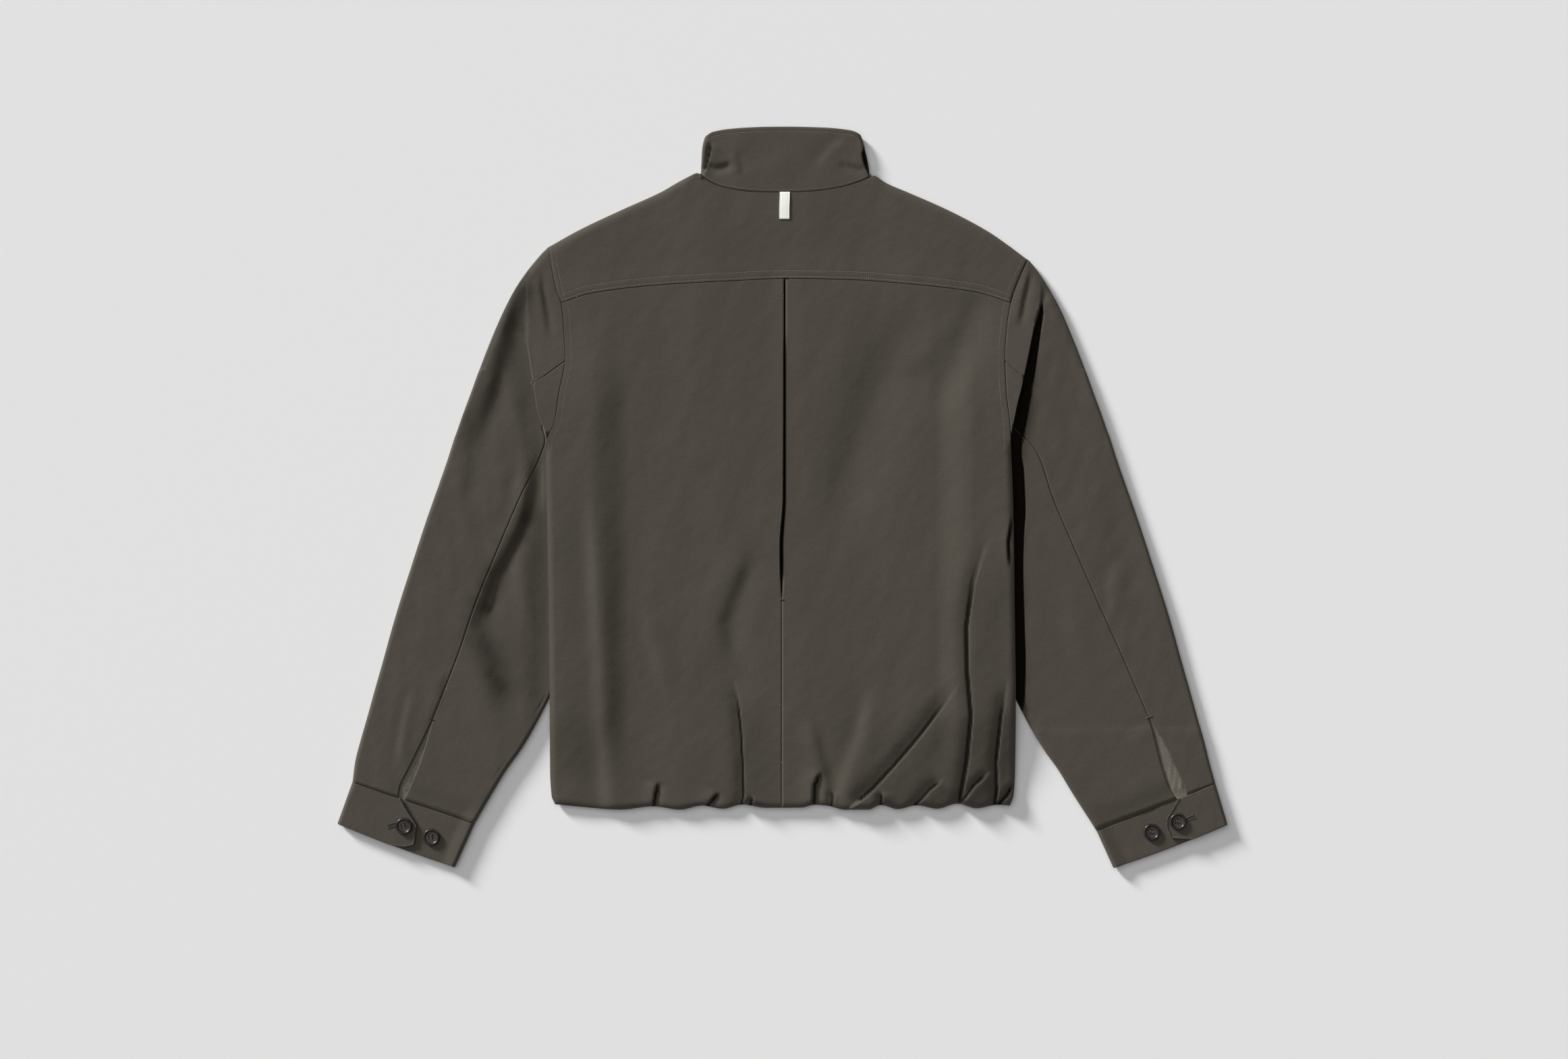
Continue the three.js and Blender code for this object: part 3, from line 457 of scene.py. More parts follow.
def armhole_dip(x, y):
    depth = np.where(x < 0, ARMHOLE_DIP[-1], ARMHOLE_DIP[1])
    return seam_dip(np.abs(body_side(x, y) - x), depth) * smooth(56, 68, y)


def edge_shade(x, y):
    """A little shade in the armhole seams and down the turned left side edge."""
    left_edge = 0.3 * np.exp(-((x - side_line[-1](y)) / 1.8) ** 2) * smooth(80, 60, y)
    return np.maximum(np.clip(0.8 * armhole_dip(x, y), 0, 0.5), left_edge)


def back_top(x, y):
    rim = body_lift(x, y) + THICK / 2 + RIM_GAP
    full = body_surface(x, y) - armhole_dip(x, y) - seam_dip(yoke_seam(x) - y, 0.4)
    return mix(rim, full, roundness(rim_distance(x, y), 7.5))


def settle(start, x_at, y_at):
    """Places in plan where x depends on y and y on x."""
    x, y = x_at(start), start
    for _ in range(6):
        y = y_at(x)
        x = x_at(y)
    return x, y


def inwards(outer, depth):
    """The same grid moved in by the cloth's thickness, along its own normals."""
    across = np.gradient(outer, axis=1)
    down = np.gradient(outer, axis=0)
    normal = np.cross(across, down)
    normal /= np.maximum(np.linalg.norm(normal, axis=2, keepdims=True), 1e-9)
    return outer - depth * normal


def quads(a, b, c, d):
    return np.stack([a.ravel(), b.ravel(), c.ravel(), d.ravel()], 1)


def shell(name, outer, material, facing=1, thickness=CLOTH, hollow=None):
    """A thin closed wall of cloth inside a grid of outer points, in millimetres. Its point
    attribute of painted shade says how dark each point is painted, from 0 to 1."""
    inner = inwards(outer, facing * thickness)
    rows, columns = outer.shape[:2]
    points = np.concatenate([outer.reshape(-1, 3), inner.reshape(-1, 3)]) * MM
    ids = np.arange(rows * columns).reshape(rows, columns)
    under = ids + rows * columns
    faces = np.concatenate([
        quads(ids[:-1, :-1], ids[:-1, 1:], ids[1:, 1:], ids[1:, :-1]),
        quads(under[:-1, :-1], under[1:, :-1], under[1:, 1:], under[:-1, 1:]),
        quads(ids[0, 1:], ids[0, :-1], under[0, :-1], under[0, 1:]),
        quads(ids[-1, :-1], ids[-1, 1:], under[-1, 1:], under[-1, :-1]),
        quads(ids[:-1, 0], ids[1:, 0], under[1:, 0], under[:-1, 0]),
        quads(ids[1:, -1], ids[:-1, -1], under[:-1, -1], under[1:, -1])])
    if facing < 0:
        faces = faces[:, ::-1]
    mesh = mesh_from(name, points, faces)
    # The point attribute holds painted shade, from 0 (none) to 1 (nearly black).
    layer = mesh.attributes.new("hollow", "FLOAT", "POINT")
    depth = np.zeros(rows * columns) if hollow is None else hollow.ravel()
    layer.data.foreach_set("value", np.tile(depth, 2).astype(np.float32))
    return placed(name, mesh, material)


def mesh_from(name, points, faces):
    """A smooth mesh from points in metres and faces that all have as many corners."""
    mesh = bpy.data.meshes.new(name)
    mesh.vertices.add(len(points))
    mesh.vertices.foreach_set("co", np.asarray(points, np.float32).ravel())
    mesh.loops.add(faces.size)
    mesh.loops.foreach_set("vertex_index", faces.ravel().astype(np.int32))
    mesh.polygons.add(len(faces))
    starts = np.arange(0, faces.size, faces.shape[1], dtype=np.int32)
    mesh.polygons.foreach_set("loop_start", starts)
    mesh.polygons.foreach_set("use_smooth", np.ones(len(faces), dtype=bool))
    mesh.update(calc_edges=True)
    mesh.validate()
    return mesh


def placed(name, mesh, material):
    """A mesh as a piece of the scene that rides on the garment's one body."""
    mesh.materials.append(material)
    piece = bpy.data.objects.new(name, mesh)
    bpy.context.collection.objects.link(piece)
    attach(piece, "root")
    return piece


def cloth_material(name, turn=0.0, colour=CLOTH_COLOUR):
    """Fine plain weave: slubby threads both ways, cloudy colour, a dry nap, and painted shade, a
    dull near-black mixed in where a point's attribute asks for it.
    """
    shader = Shader(name, roughness=0.88, Sheen_Weight=0.15, Sheen_Roughness=0.45,
                    Specular_IOR_Level=0.3)
    warp = shader.noise(1900, detail=2, stretch=(1, 0.16, 1), turn=turn)
    weft = shader.noise(1900, detail=2, stretch=(0.16, 1, 1), turn=turn)
    cloud = shader.noise(14, detail=5, rough=0.6)
    speck = shader.noise(520, detail=3)
    threads = warp + weft
    shade = shader.ramp(threads * 0.5 + cloud * 0.35 + speck * 0.3, 0.35, 0.85)
    shader.surface_input("Base Color",
                         shader.blend(tinted(colour, 0.86), tinted(colour, 1.13), shade))
    # Painted shade: the point attribute mixes in the dull near-black surface.
    shader.shaded(shader.attribute("hollow"))
    shader.surface_input("Roughness", 0.82 + 0.12 * cloud)
    shader.bump((threads, 0.0001), (shader.noise(190, detail=3), 0.0001),
                (shader.noise(36, detail=4), 0.0007))
    return shader.material


back_cloth = cloth_material("back_cloth")


def pleat_shade(x, y):
    """The open pleat's shade, widest at its middle and gone below its foot."""
    half = 0.2 + 1.3 * smooth(220, 90, y) * smooth(-102, -70, y)
    across = smooth(half + 0.4, half - 0.1, np.abs(x - centre_line(y)))
    return DEEP_SHADE * across * smooth(-106, -98, y)


def back_panel(side):
    """One half of the back, from the pleat or centre seam out to the side."""
    wide, tall = 244, 555
    near_pitch, far_pitch = (1.4, 2.2) if side < 0 else (2.6, 1.25)
    across = np.concatenate([
        spread(0, 0.25, near_pitch / wide), spread(0.25, 0.965, far_pitch / wide)[1:],
        [0.972, 0.978, 0.984, 0.989, 0.993, 0.9965, 0.999, 1]])
    down = np.concatenate([
        [0, 0.0006, 0.0013, 0.0022, 0.0035, 0.005], spread(0.008, 0.72, 4.4 / tall),
        spread(0.72, 0.97, 1.8 / tall)[1:],
        [0.975, 0.98, 0.984, 0.988, 0.992, 0.995, 0.9975, 0.9993, 1]])
    v, u = np.meshgrid(down, across, indexing="ij")
    level = mix(YOKE_LEVEL, HEM_LEVEL, v)

    def x_at(y):
        return mix(centre_line(y) + side * slit_half(y), side_line[side](y) - side * EDGE_GAP, u)

    def y_at(x):
        at_yoke = (yoke_seam(x) - EDGE_GAP - YOKE_LEVEL) * (1 - v) ** 2
        return level + at_yoke + (hem_line(x) - HEM_LEVEL) * v ** 10

    x, y = settle(level, x_at, y_at)
    # The panel is painted with shade in its sharp folds, down the open pleat, and in its armhole
    # seams and left edge.
    shades = [fold_shade(x, y, FOLDS), pleat_shade(x, y), edge_shade(x, y)]
    return shell("back_shell_" + SIDES[side], np.stack([x, y, back_top(x, y)], 2), back_cloth,
                 facing=-side, hollow=np.maximum.reduce(shades))


for side, word in SIDES.items():
    panel = back_panel(side)
    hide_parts("back_" + word)

# ------------------------------------------------------------------ yoke
# One piece across both shoulders, seamed to the back with its edge on top and stitched down
# in two rows. Its shoulder edges turn over the seams with the fronts.
NECK_HALF = 92
NECK_LEFT, NECK_RIGHT = -89, 97
SHOULDER_ROUND = 8.5
YOKE_STEP = 0.3
YOKE_ROWS = (2.2, 8.2)
LEFT_SHOULDER = table(("x", "y"), [
    (-244.5, 261.5), (-212, 279.6), (-169, 300), (-127, 319), (-106, 331), (-89, 339.2)])
NECK_SEAM = table(("x", "y"), [
    (-89, 339.2), (-78, 330.5), (-68.6, 325.8), (-58.4, 322.8), (-31, 318.8), (1.6, 318.1),
    (32.5, 319.3), (61.6, 323.6), (81.3, 329.6), (97, 336.4)])
RIGHT_SHOULDER = table(("x", "y"), [
    (97, 336.4), (110, 328), (131, 319), (174, 300), (216, 277.5), (237, 263), (257, 248)])
left_shoulder = line(LEFT_SHOULDER, "x", "y")
neck_seam = line(NECK_SEAM, "x", "y")
right_shoulder = line(RIGHT_SHOULDER, "x", "y")


def yoke_edge(x):
    beside_left = np.where(x > NECK_RIGHT, right_shoulder(x), neck_seam(x))
    return np.where(x < NECK_LEFT, left_shoulder(x), beside_left)


def stitch_dent(distance):
    """The share of a row of stitches' dent that is left at a distance from the row."""
    return np.exp(-(distance / 0.9) ** 2)


def yoke_top(x, y):
    at_shoulder = smooth(NECK_HALF - 12, NECK_HALF + 14, np.abs(x))
    rim = (yoke_edge(x) - y) * 0.9 + 9 * (1 - at_shoulder)
    above_seam = y - yoke_seam(x)
    step = YOKE_STEP * roundness(above_seam + 0.05, 1.2) * smooth(30, 9, above_seam)
    rows = 0.12 * (stitch_dent(above_seam - YOKE_ROWS[0]) + stitch_dent(above_seam - YOKE_ROWS[1]))
    full = body_surface(x, y) + step - rows - armhole_dip(x, y)
    return mix(THICK / 2 + RIM_GAP, full, roundness(rim, SHOULDER_ROUND))


def yoke_piece():
    near_seam = [0.1, 0.4, 0.8, 1.3, 1.9, 2.5, 3.1, 4, 5.5, 6.9, 7.6, 8.2, 8.8, 9.6]
    shares = np.concatenate([spread(0.1, 0.9, 0.024),
                             [0.925, 0.945, 0.96, 0.972, 0.982, 0.99, 0.996, 1]])
    above = [0] * len(near_seam) + list((shares - 0.1) / 0.9)
    level, u = np.meshgrid(np.arange(len(above)), spread(0, 1, 3.0 / 495), indexing="ij")

    def x_at(y):
        return mix(side_line[-1](y) + EDGE_GAP, side_line[1](y) - EDGE_GAP, u)

    def y_at(x):
        low, high = yoke_seam(x), yoke_edge(x) - EDGE_GAP
        first = low + np.take(near_seam + [0] * len(shares), level)
        second = mix(low + 10.2, high, np.take(above, level))
        return np.where(level < len(near_seam), first, second)

    x, y = settle(np.full(level.shape, float(YOKE_LEVEL)), x_at, y_at)
    # The yoke is painted with a little shade in its armhole seams.
    return shell("yoke_shell", np.stack([x, y, yoke_top(x, y)], 2), cloth_material("yoke_cloth"),
                 hollow=edge_shade(x, y))


yoke = yoke_piece()
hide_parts("yoke")

# ------------------------------------------------------------------ sleeves, top pieces
# Each sleeve's top piece runs from the armhole and the back seam over the outer fold to the
# front seam underneath. The body's side lies on the inner half and presses it flat. Their
# sections are given outwards from the middle of the garment, one row down the sleeve each.
# CAP is the sleeve's edge at the shoulder, with the level of the armhole's point opposite.
# The other rows are an outer and an inner point, x and y each; a tongue's are its two seams.
CAP = {
    -1: table(("x", "y", "in"), [
        (245.3, 261.1, 261), (246.8, 259.4, 259.3), (250, 256.5, 255.5), (258, 247.5, 247),
        (268, 235, 237), (280, 217, 220), (291, 196, 200), (300, 176, 181), (309, 154, 162),
        (317, 133, 141.8)]),
    1: table(("x", "y", "in"), [
        (257.7, 248, 247.9), (259, 246.6, 246.4), (262, 243, 242.5), (267, 236.5, 237),
        (273, 228, 229), (281, 215, 216), (292, 194.5, 199), (300, 176, 182), (309, 154, 163),
        (317, 133, 142.8)])}
BESIDE_TONGUE = [(317.3, 132.2), (318.4, 129.6), (321.2, 122), (324, 114), (334, 87), (341, 67)]
TONGUES = {
    -1: [(228.3, 141, 227.3, 141), (232, 138.3, 228.6, 136.6), (245.5, 128.2, 231.5, 121),
         (259.1, 118, 234, 108.5), (255.3, 91, 237.8, 90.5), (251, 75, 241.4, 75)],
    1: [(233.6, 141.2, 233.0, 141), (236, 138.9, 233.6, 137.6), (243.5, 131.4, 234.1, 124),
        (251.4, 123.2, 235.2, 108), (245.6, 95, 236.9, 91), (241.8, 75.5, 239.2, 75.3)]}
SLEEVE = [
    (343, 62, 234, 64), (346.5, 51, 225, 51), (350, 40, 214, 38), (359, 14, 206, 5),
    (370, -17, 204, -32), (380, -47, 205, -70), (390, -78, 209, -108), (400, -109, 217, -143),
    (409.5, -141, 229, -177), (418, -172, 243, -208), (426, -200, 257, -236),
    (434, -229, 272, -262), (442, -257, 289, -286), (447, -277, 303, -309)]
AT_CUFF = {-1: (449.65, -297.65, 322.05, -341.85), 1: (453.15, -299.55, 328.95, -349.35)}
BACK_SEAM = table(("y", "left_top", "left_under", "right_top", "right_under"), [
    (125, 260.4, 260.1, 253.2, 252.9), (93, 256, 255.7, 246.5, 246.2),
    (75, 251.6, 251.3, 242.4, 242.1), (60, 248.2, 247.9, 256, 255.7),
    (45, 252.5, 252.2, 267.5, 267.2), (0, 274, 273.7, 283, 282.7), (-44, 293, 292.7, 301.6, 301.3),
    (-119, 323.5, 323.2, 334.5, 334.2), (-159, 337, 336.7, 352.5, 352.2),
    (-222, 361.7, 361.4, 379.8, 379.5), (-232, 365.6, 365.3, 384, 383.7),
    (-257, 377.5, 372.4, 399, 390.5), (-284, 390.5, 381.4, 411.5, 397.4),
    (-305, 400.4, 390.3, 421, 405.4), (-318, 402, 396.2, 425, 415)])
FRONT_SEAM = table(("y", "x"), [
    (164, 229.6), (127.6, 239.2), (91.3, 248.8), (54.9, 258.4), (18.5, 268), (-50, 258),
    (-120, 258), (-180, 270), (-232, 292), (-283, 325), (-335, 356)])
FOLD_EDGE = table(("y", "left", "right"), [
    (245, 266, 272), (206, 267, 271), (171, 267.2, 262.6), (144, 264, 257), (121, 260.3, 251.9),
    (93, 255.8, 245), (58, 247.2, 239.6), (28, 247, 240), (-130, 244, 243), (-290, 243, 243.6)])
fold_edge = {side: line(FOLD_EDGE, "y", word) for side, word in SIDES.items()}
front_seam = line(FRONT_SEAM, "y", "x")
top_seam = {side: line(BACK_SEAM, "y", word + "_top") for side, word in SIDES.items()}
under_seam = {side: line(BACK_SEAM, "y", word + "_under") for side, word in SIDES.items()}
HALF_SEAM = SEAM / 2

# Soft folds and crumples in the sleeves, counted outwards like the sections.
SLEEVE_FOLDS = {
    -1: [
        Fold(-1, 3.4, 12, 2.6, 16, 6, [(258, 56), (263, 10), (270, -22), (281, -50), (300, -82),
             (306, -105)], open_end=True),
        Fold(-1, 2.4, 17, 2.8, 20, 9, [(296, -78), (312, -106), (320, -134), (306, -172),
             (294, -214), (290, -250)]),
        Fold(1, 1.2, 12, 1.2, 16, 5, [(262, -30), (280, -66), (276, -104), (268, -150)]),
        Fold(-1, 1.6, 6, 1.0, 9, 3, [(254, 240), (252, 220), (247, 190), (243, 160)]),
        Fold(-1, 2.8, 16, 2.6, 16, 9, [(280, 228), (283, 200), (290, 165), (299, 125), (311, 85),
             (322, 45)]),
        Fold(-1, 1.0, 15, 1.4, 16, 8, [(330, 80), (327, 30), (331, -14)]),
        Fold(-1, 1.2, 14, 1.0, 16, 8, [(284, 40), (288, 0), (300, -36)]),
        Fold(1, 0.9, 9, 0.8, 12, 4, [(388, -195), (398, -245), (404, -286)]),
        Fold(-1, 0.9, 8, 0.8, 12, 4, [(352, -180), (358, -214), (372, -244)]),
    ],
    1: [
        Fold(1, 1.6, 6, 0.9, 10, 2.4, [(260, 241), (252, 207), (246, 174)]),
        Fold(-1, 1.2, 7, 0.5, 10, 3, [(290, 222), (279, 214), (274, 200)]),
        Fold(-1, 0.9, 20, 0.9, 24, 12, [(300, 190), (312, 130), (318, 60)]),
        Fold(1, 0.8, 18, 0.9, 22, 12, [(330, 20), (345, -60), (372, -130)]),
        Fold(-1, 0.9, 18, 0.9, 20, 10, [(290, -90), (300, -150), (322, -215)]),
        Fold(1, 1.0, 6, 0.6, 8, 2, [(362, -258), (374, -240), (383, -231)]),
        Fold(-1, 0.8, 12, 0.8, 14, 5, [(352, -60), (340, -96), (344, -130)]),
    ],
}

# The slot beside the right sleeve's fold, deep in real shadow and painted black with shade as well,
# and the height of its floor.
SLOT = table(("y", "width"), [
    (212, 0), (204, 1), (187, 5), (167, 7.5), (144, 9), (122, 10.5), (99, 12.5), (72, 13), (46, 10),
    (28, 12.5), (-12, 13.4), (-41, 11), (-84, 9.3), (-130, 10), (-170, 11), (-209, 10), (-228, 7),
    (-246, 0)])
SLOT_FLOOR = 1.6
slot_line = line(SLOT, "y", "width")


def slot_width(y):
    return slot_line(np.clip(y, SLOT["y"].min(), SLOT["y"].max()))


def slot_depth(side, x, y):
    """How deep in the slot a place on the sleeve lies, from 0 outside to 1 at its floor."""
    if side < 0:
        return np.zeros(np.shape(x))
    out, width = x - fold_edge[side](y), slot_width(y)
    return smooth(width + 0.8, width - 1.6, out) * smooth(-3.5, -0.5, out) * smooth(0, 3, width)


def sleeve_top(side, x, y):
    """The sleeve's upper surface: pressed beside and below the body, raised in the armhole's
    fold, and on the right turned down into the slot beside that fold."""
    out = x - fold_edge[side](y)
    pressed = smooth(240, 150, y) * smooth(-290, -215, y)
    low = THICK - (THICK - SQUEEZED) * pressed * (1 - smooth(1, 15 if side > 0 else 28, out))
    if side > 0:
        beside_slot = smooth(0, 3, slot_width(y)) * smooth(-4, 0, out)
        low = mix(mix(low, THICK - 0.6, beside_slot), SLOT_FLOOR, slot_depth(side, x, y))
    high = body_surface(side * x, y)
    creases = np.clip(fold_height(x, y, SLEEVE_FOLDS[side]), -3.8, 4)
    waves = (0.45 * ripple(x, y, 80, 8 + side, 2.4) + 0.2 * ripple(x, y, 30, 11 + side, 1.5)
             + 0.07 * ripple(x, y, 15, 14 + side, 1.2)) * smooth(-8, 20, out)
    raised = mix(low, high, smooth(54, 70, y))
    beside_body = np.abs(side_line[side](y)) - x
    return (mix(low + waves, raised, smooth(1.2, -1.2, out)) + creases * smooth(0, -6, beside_body)
            - seam_dip(beside_body, ARMHOLE_DIP[side]) * smooth(84, 96, y))


def meets(outer, inner, seam, reach=1.0):
    """Share of the way from the outer to the inner point where a section crosses a seam."""
    low, high = 0.0, reach
    for _ in range(30):
        middle = (low + high) / 2
        x, y = mix(outer, inner, middle)
        if x > seam(y):
            low = middle
        else:
            high = middle
    return low


def sections(rows, pitch):
    """Rows of numbers drawn out into many more, evenly along the sleeve, on smooth lines."""
    rows = np.array(rows, float)
    travelled = np.concatenate([[0], np.cumsum(np.hypot(*np.diff(rows[:, :2], axis=0).T))])
    parts = np.unique(np.concatenate([spread(0, travelled[-1], pitch), travelled]))
    lines = [line({"at": travelled, "value": column}, "at", "value") for column in rows.T]
    return np.stack([along(parts) for along in lines], 1)


def half_round(radius, height, count):
    """Reach and height of points round a fold, from its top to its foot."""
    angles = np.linspace(0, math.pi, count + 2)[1:-1]
    return radius * np.sin(angles), height / 2 * (1 + np.cos(angles))


def way(start, end, shares):
    """Points at several shares of the straight way from one point to another."""
    return mix(start[None], end[None], shares[:, None])


def apart(start, end):
    return float(np.hypot(*(end - start)))


def top_ring(side, outer, start_point, under_reach, at_armhole=False):
    """One section of the top piece: from its seam over the outer fold to the front seam."""
    lower_count = 14
    width = apart(outer, start_point)
    bend = min(THICK / 2, 0.4 * width)
    crossing = meets(outer, start_point, fold_edge[side]) * width
    edge = max(width - crossing, 5)
    free = width - bend
    beside_edge = np.array([-1.2, -0.9, -0.6, -0.3, 0, 0.4, 0.8, 1.2, 1.8, 3, 5, 6.5, 7.5, 8.5, 9.2,
                            9.9, 10.6, 11.3, 12, 12.7, 13.4, 14.2, 15, 17])
    at_fold = np.concatenate([[0, 0.4, 0.9, 1.5], np.linspace(2.4, edge - 1.6, 11),
                              edge + beside_edge])
    even = free * np.linspace(0, 0.6, len(at_fold))
    near = mix(even, np.minimum(at_fold, 0.9 * free), smooth(14, 40, free - edge))
    stops = width - np.concatenate([near, np.linspace(near[-1], width - bend, 34)[1:]])
    upper = way(outer, start_point, stops / width)
    heights = sleeve_top(side, upper[:, 0], upper[:, 1])
    if at_armhole:
        cap_edge = list(zip(CAP[side]["x"], CAP[side]["y"]))
        rim = np.abs(beside(cap_edge, upper[:, 0], upper[:, 1])[0])
        heights = mix(THICK / 2 + RIM_GAP, heights, roundness(rim, SHOULDER_ROUND))
    else:
        heights = heights - seam_dip(width - stops)
    reach, z = half_round(bend, THICK, 11)
    turned = way(outer, start_point, (bend - reach) / width)
    last = meets(outer, start_point, front_seam, under_reach) * width - HALF_SEAM
    lower = way(outer, start_point, np.linspace(bend, last, lower_count) / width)
    x, y = np.concatenate([upper, turned, lower]).T
    z = z + (heights[-1] - THICK) * (z / THICK) ** 2
    return np.column_stack([side * x, y, np.concatenate([heights, z, np.zeros(lower_count)])])


# Painted shade where the left sleeve sags away from the light: paths counted outwards, half width,
# darkness.
PAINTED_SAG_SHADE = [
    ([(250, 4), (282, -52), (303, -76), (316, -105), (320, -140), (303, -169), (294, -201),
      (282, -225)], 17, 0.5),
    ([(262, 240), (274, 200), (290, 150), (304, 115), (325, 85), (342, 50)], 14, 0.42)]


def sleeve_shade(side, rings):
    """Painted shade: soft in the left sleeve's sags and along its armhole fold; on the right, black
    in the slot, which also lies in real shadow.
    """
    x, y, z = np.moveaxis(np.array(rings), 2, 0)
    out, width = side * x - fold_edge[side](y), slot_width(y)
    if side < 0:
        shade = 0.3 * np.exp(-(out / 1.6) ** 2) * smooth(70, 90, y)
        for path, half, darkness in PAINTED_SAG_SHADE:
            signed, along = beside(path, -x, y)
            uneven = 0.8 + 0.3 * ripple(x, y, 34, 61, 1.6) + 0.15 * ripple(x, y, 14, 62)
            sag_shade = darkness * np.exp(-(signed / half) ** 2) * np.clip(uneven, 0.2, 1.2)
            shade = np.maximum(shade, sag_shade * smooth(0, 0.12, along) * smooth(1, 0.88, along))
        return shade * smooth(0.2, 0.5, z)
    across = smooth(width + 1, width + 0.1, out) * smooth(-1.2, -0.2, out)
    return 0.96 * across * smooth(0, 2.5, width) * smooth(0.2, 0.5, z)


def seam_crossing(side, seam, count=9):
    """Points down a seam where it leaves the armhole's fold and crosses to the sleeve."""
    outer, inner = np.array(SLEEVE[0][:2]), np.array(SLEEVE[0][2:])
    last = mix(outer, inner, meets(outer, inner, seam))
    y = np.linspace(TONGUES[side][-1][1], last[1], count + 2)[1:-1]
    return np.column_stack([seam(y), y])


def top_piece(side):
    rings = []
    cap = np.column_stack([CAP[side]["x"], CAP[side]["y"], CAP[side]["in"]])
    for x, y, inner_y in sections(cap, 2.8):
        armhole = np.array([abs(float(side_line[side](inner_y))) + EDGE_GAP, inner_y])
        rings.append(top_ring(side, np.array([x, y]), armhole, 1.0, at_armhole=True))
    beside_rows = [(x, y, tongue[0] + 0.2, tongue[1] + 0.1)
                   for (x, y), tongue in zip(BESIDE_TONGUE, TONGUES[side])]
    for x, y, seam_x, seam_y in sections(beside_rows, 1.4):
        rings.append(top_ring(side, np.array([x, y]), np.array([seam_x, seam_y]), 1.6))
    crossing = seam_crossing(side, top_seam[side])
    for share, point in zip(np.linspace(0.1, 0.9, len(crossing)), crossing):
        outer = mix(np.array(BESIDE_TONGUE[-1]), np.array(SLEEVE[0][:2]), share)
        rings.append(top_ring(side, outer, point, 1.5))
    for row in sections(SLEEVE + [AT_CUFF[side]], 3.3):
        outer, inner = row[:2], row[2:]
        start = mix(outer, inner, meets(outer, inner, top_seam[side]))
        rings.append(top_ring(side, outer, start, apart(outer, inner) / apart(outer, start)))
    # The shell carries the sleeve's painted shade.
    return shell("sleeve_top_shell_" + SIDES[side], np.array(rings), sleeve_cloth[side],
                 facing=-side, hollow=sleeve_shade(side, rings))


sleeve_cloth = {side: cloth_material(f"sleeve_cloth_{word}", turn=side * 0.32)
                for side, word in SIDES.items()}
for side, word in SIDES.items():
    piece = top_piece(side)
    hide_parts("sleeve_top_" + word)

# ------------------------------------------------------------------ sleeves, under pieces
# The under piece starts as a narrow tongue beside the armhole, folded over the sleeve, and
# widens into the inner half below the armpit, round the inner fold to the front seam.
def tongue_ring(side, row):
    """One section of the tongue: over the fold from its seam, down the armhole and below."""
    count = 12
    inner_x = abs(float(side_line[side](row[3]))) + HALF_SEAM
    seam_point, inner_point = np.array(row[:2]), np.array([min(inner_x, row[2]), row[3]])
    path = way(seam_point, inner_point, np.linspace(0, 1, 47))
    x, y = path.T
    on_fold = row[1] > TONGUES[side][-1][1] - 0.1
    heights = sleeve_top(side, np.minimum(x, fold_edge[side](y) - 1.3) if on_fold else x, y)
    heights = (heights - seam_dip(np.hypot(*(path - seam_point).T))
               - seam_dip(np.hypot(*(path - inner_point).T), ARMHOLE_DIP[side]))
    drop = np.linspace(min(5.4, heights[-1] - 1), 0, count + 1)[1:]
    x_end, y_end = inner_point
    below = np.linspace(x_end + 0.2, float(front_seam(y_end)) - HALF_SEAM, count)
    upper = np.column_stack([side * x, y, heights])
    wall = np.column_stack([np.full(count, side * x_end), np.full(count, y_end), drop])
    lower = np.column_stack([side * below, np.full(count, y_end), np.zeros(count)])
    return np.concatenate([upper, wall, lower])


def under_ring(side, row):
    """One section of the under piece: from its seam round the inner fold to the front seam."""
    count = 12
    outer, inner = np.array(row[:2]), np.array(row[2:])
    width = apart(outer, inner)
    start = meets(outer, inner, under_seam[side]) * width
    covered = meets(outer, inner, lambda y: np.abs(side_line[side](y))) * width
    beyond = meets(outer, inner, fold_edge[side], 1 + 40 / width) * width
    height = float(mix(SQUEEZED, THICK, smooth(width + 2, width + 16, beyond)))
    bend = height / 2
    edge = max(min(covered, width - bend - 4), start + 4)
    fine = min(1, (edge - start) / 20)
    reach = np.concatenate([
        start + fine * np.array([0, 0.5, 1.0, 1.6]),
        np.linspace(start + 2.4 * fine, edge - 16 * fine, 10),
        np.linspace(edge - 16 * fine, edge - fine, 22)[1:],
        [edge - 0.4 * fine, edge, edge + 0.6, edge + 1.5],
        np.linspace(edge + 1.5, width - bend, 9)[1:]])
    reach = np.minimum(reach, width - bend)
    upper = way(outer, inner, reach / width)
    limit = mix(THICK + 4, height, smooth(edge - 2, edge + 1, reach))
    heights = np.minimum(sleeve_top(side, upper[:, 0], upper[:, 1]), limit)
    cuff_seam = [AT_CUFF[side][:2], AT_CUFF[side][2:]]
    to_cuff = np.abs(beside(cuff_seam, upper[:, 0], upper[:, 1])[0])
    inner_half = smooth(0.985, 0.87, reach / width) if row[1] < -250 else 0
    heights = heights - seam_dip(reach - start) - 2.1 * smooth(26, 2, to_cuff) * inner_half
    turn, z = half_round(bend, height, count)
    turned = way(outer, inner, (width - bend + turn) / width)
    z = z + (heights[-1] - height) * (z / height) ** 2
    seam = min(meets(outer, inner, front_seam) * width + HALF_SEAM, width - bend - 2)
    lower = way(outer, inner, np.linspace(width - bend, seam, count) / width)
    x, y = np.concatenate([upper, turned, lower]).T
    return np.column_stack([side * x, y, np.concatenate([heights, z, np.zeros(count)])])


def under_piece(side):
    rings = [tongue_ring(side, row) for row in sections(TONGUES[side], 2.0)]
    crossing = seam_crossing(side, under_seam[side])
    for point, inner_y in zip(crossing, np.linspace(74.6, 66, len(crossing))):
        rings.append(tongue_ring(side, (*point, math.inf, inner_y)))
    rings += [under_ring(side, row) for row in sections(SLEEVE + [AT_CUFF[side]], 3.3)]
    # The shell carries the sleeve's painted shade.
    return shell("sleeve_under_shell_" + SIDES[side], np.array(rings), sleeve_cloth[side],
                 facing=side, hollow=sleeve_shade(side, rings))


for side, word in SIDES.items():
    piece = under_piece(side)
    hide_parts("sleeve_under_" + word)

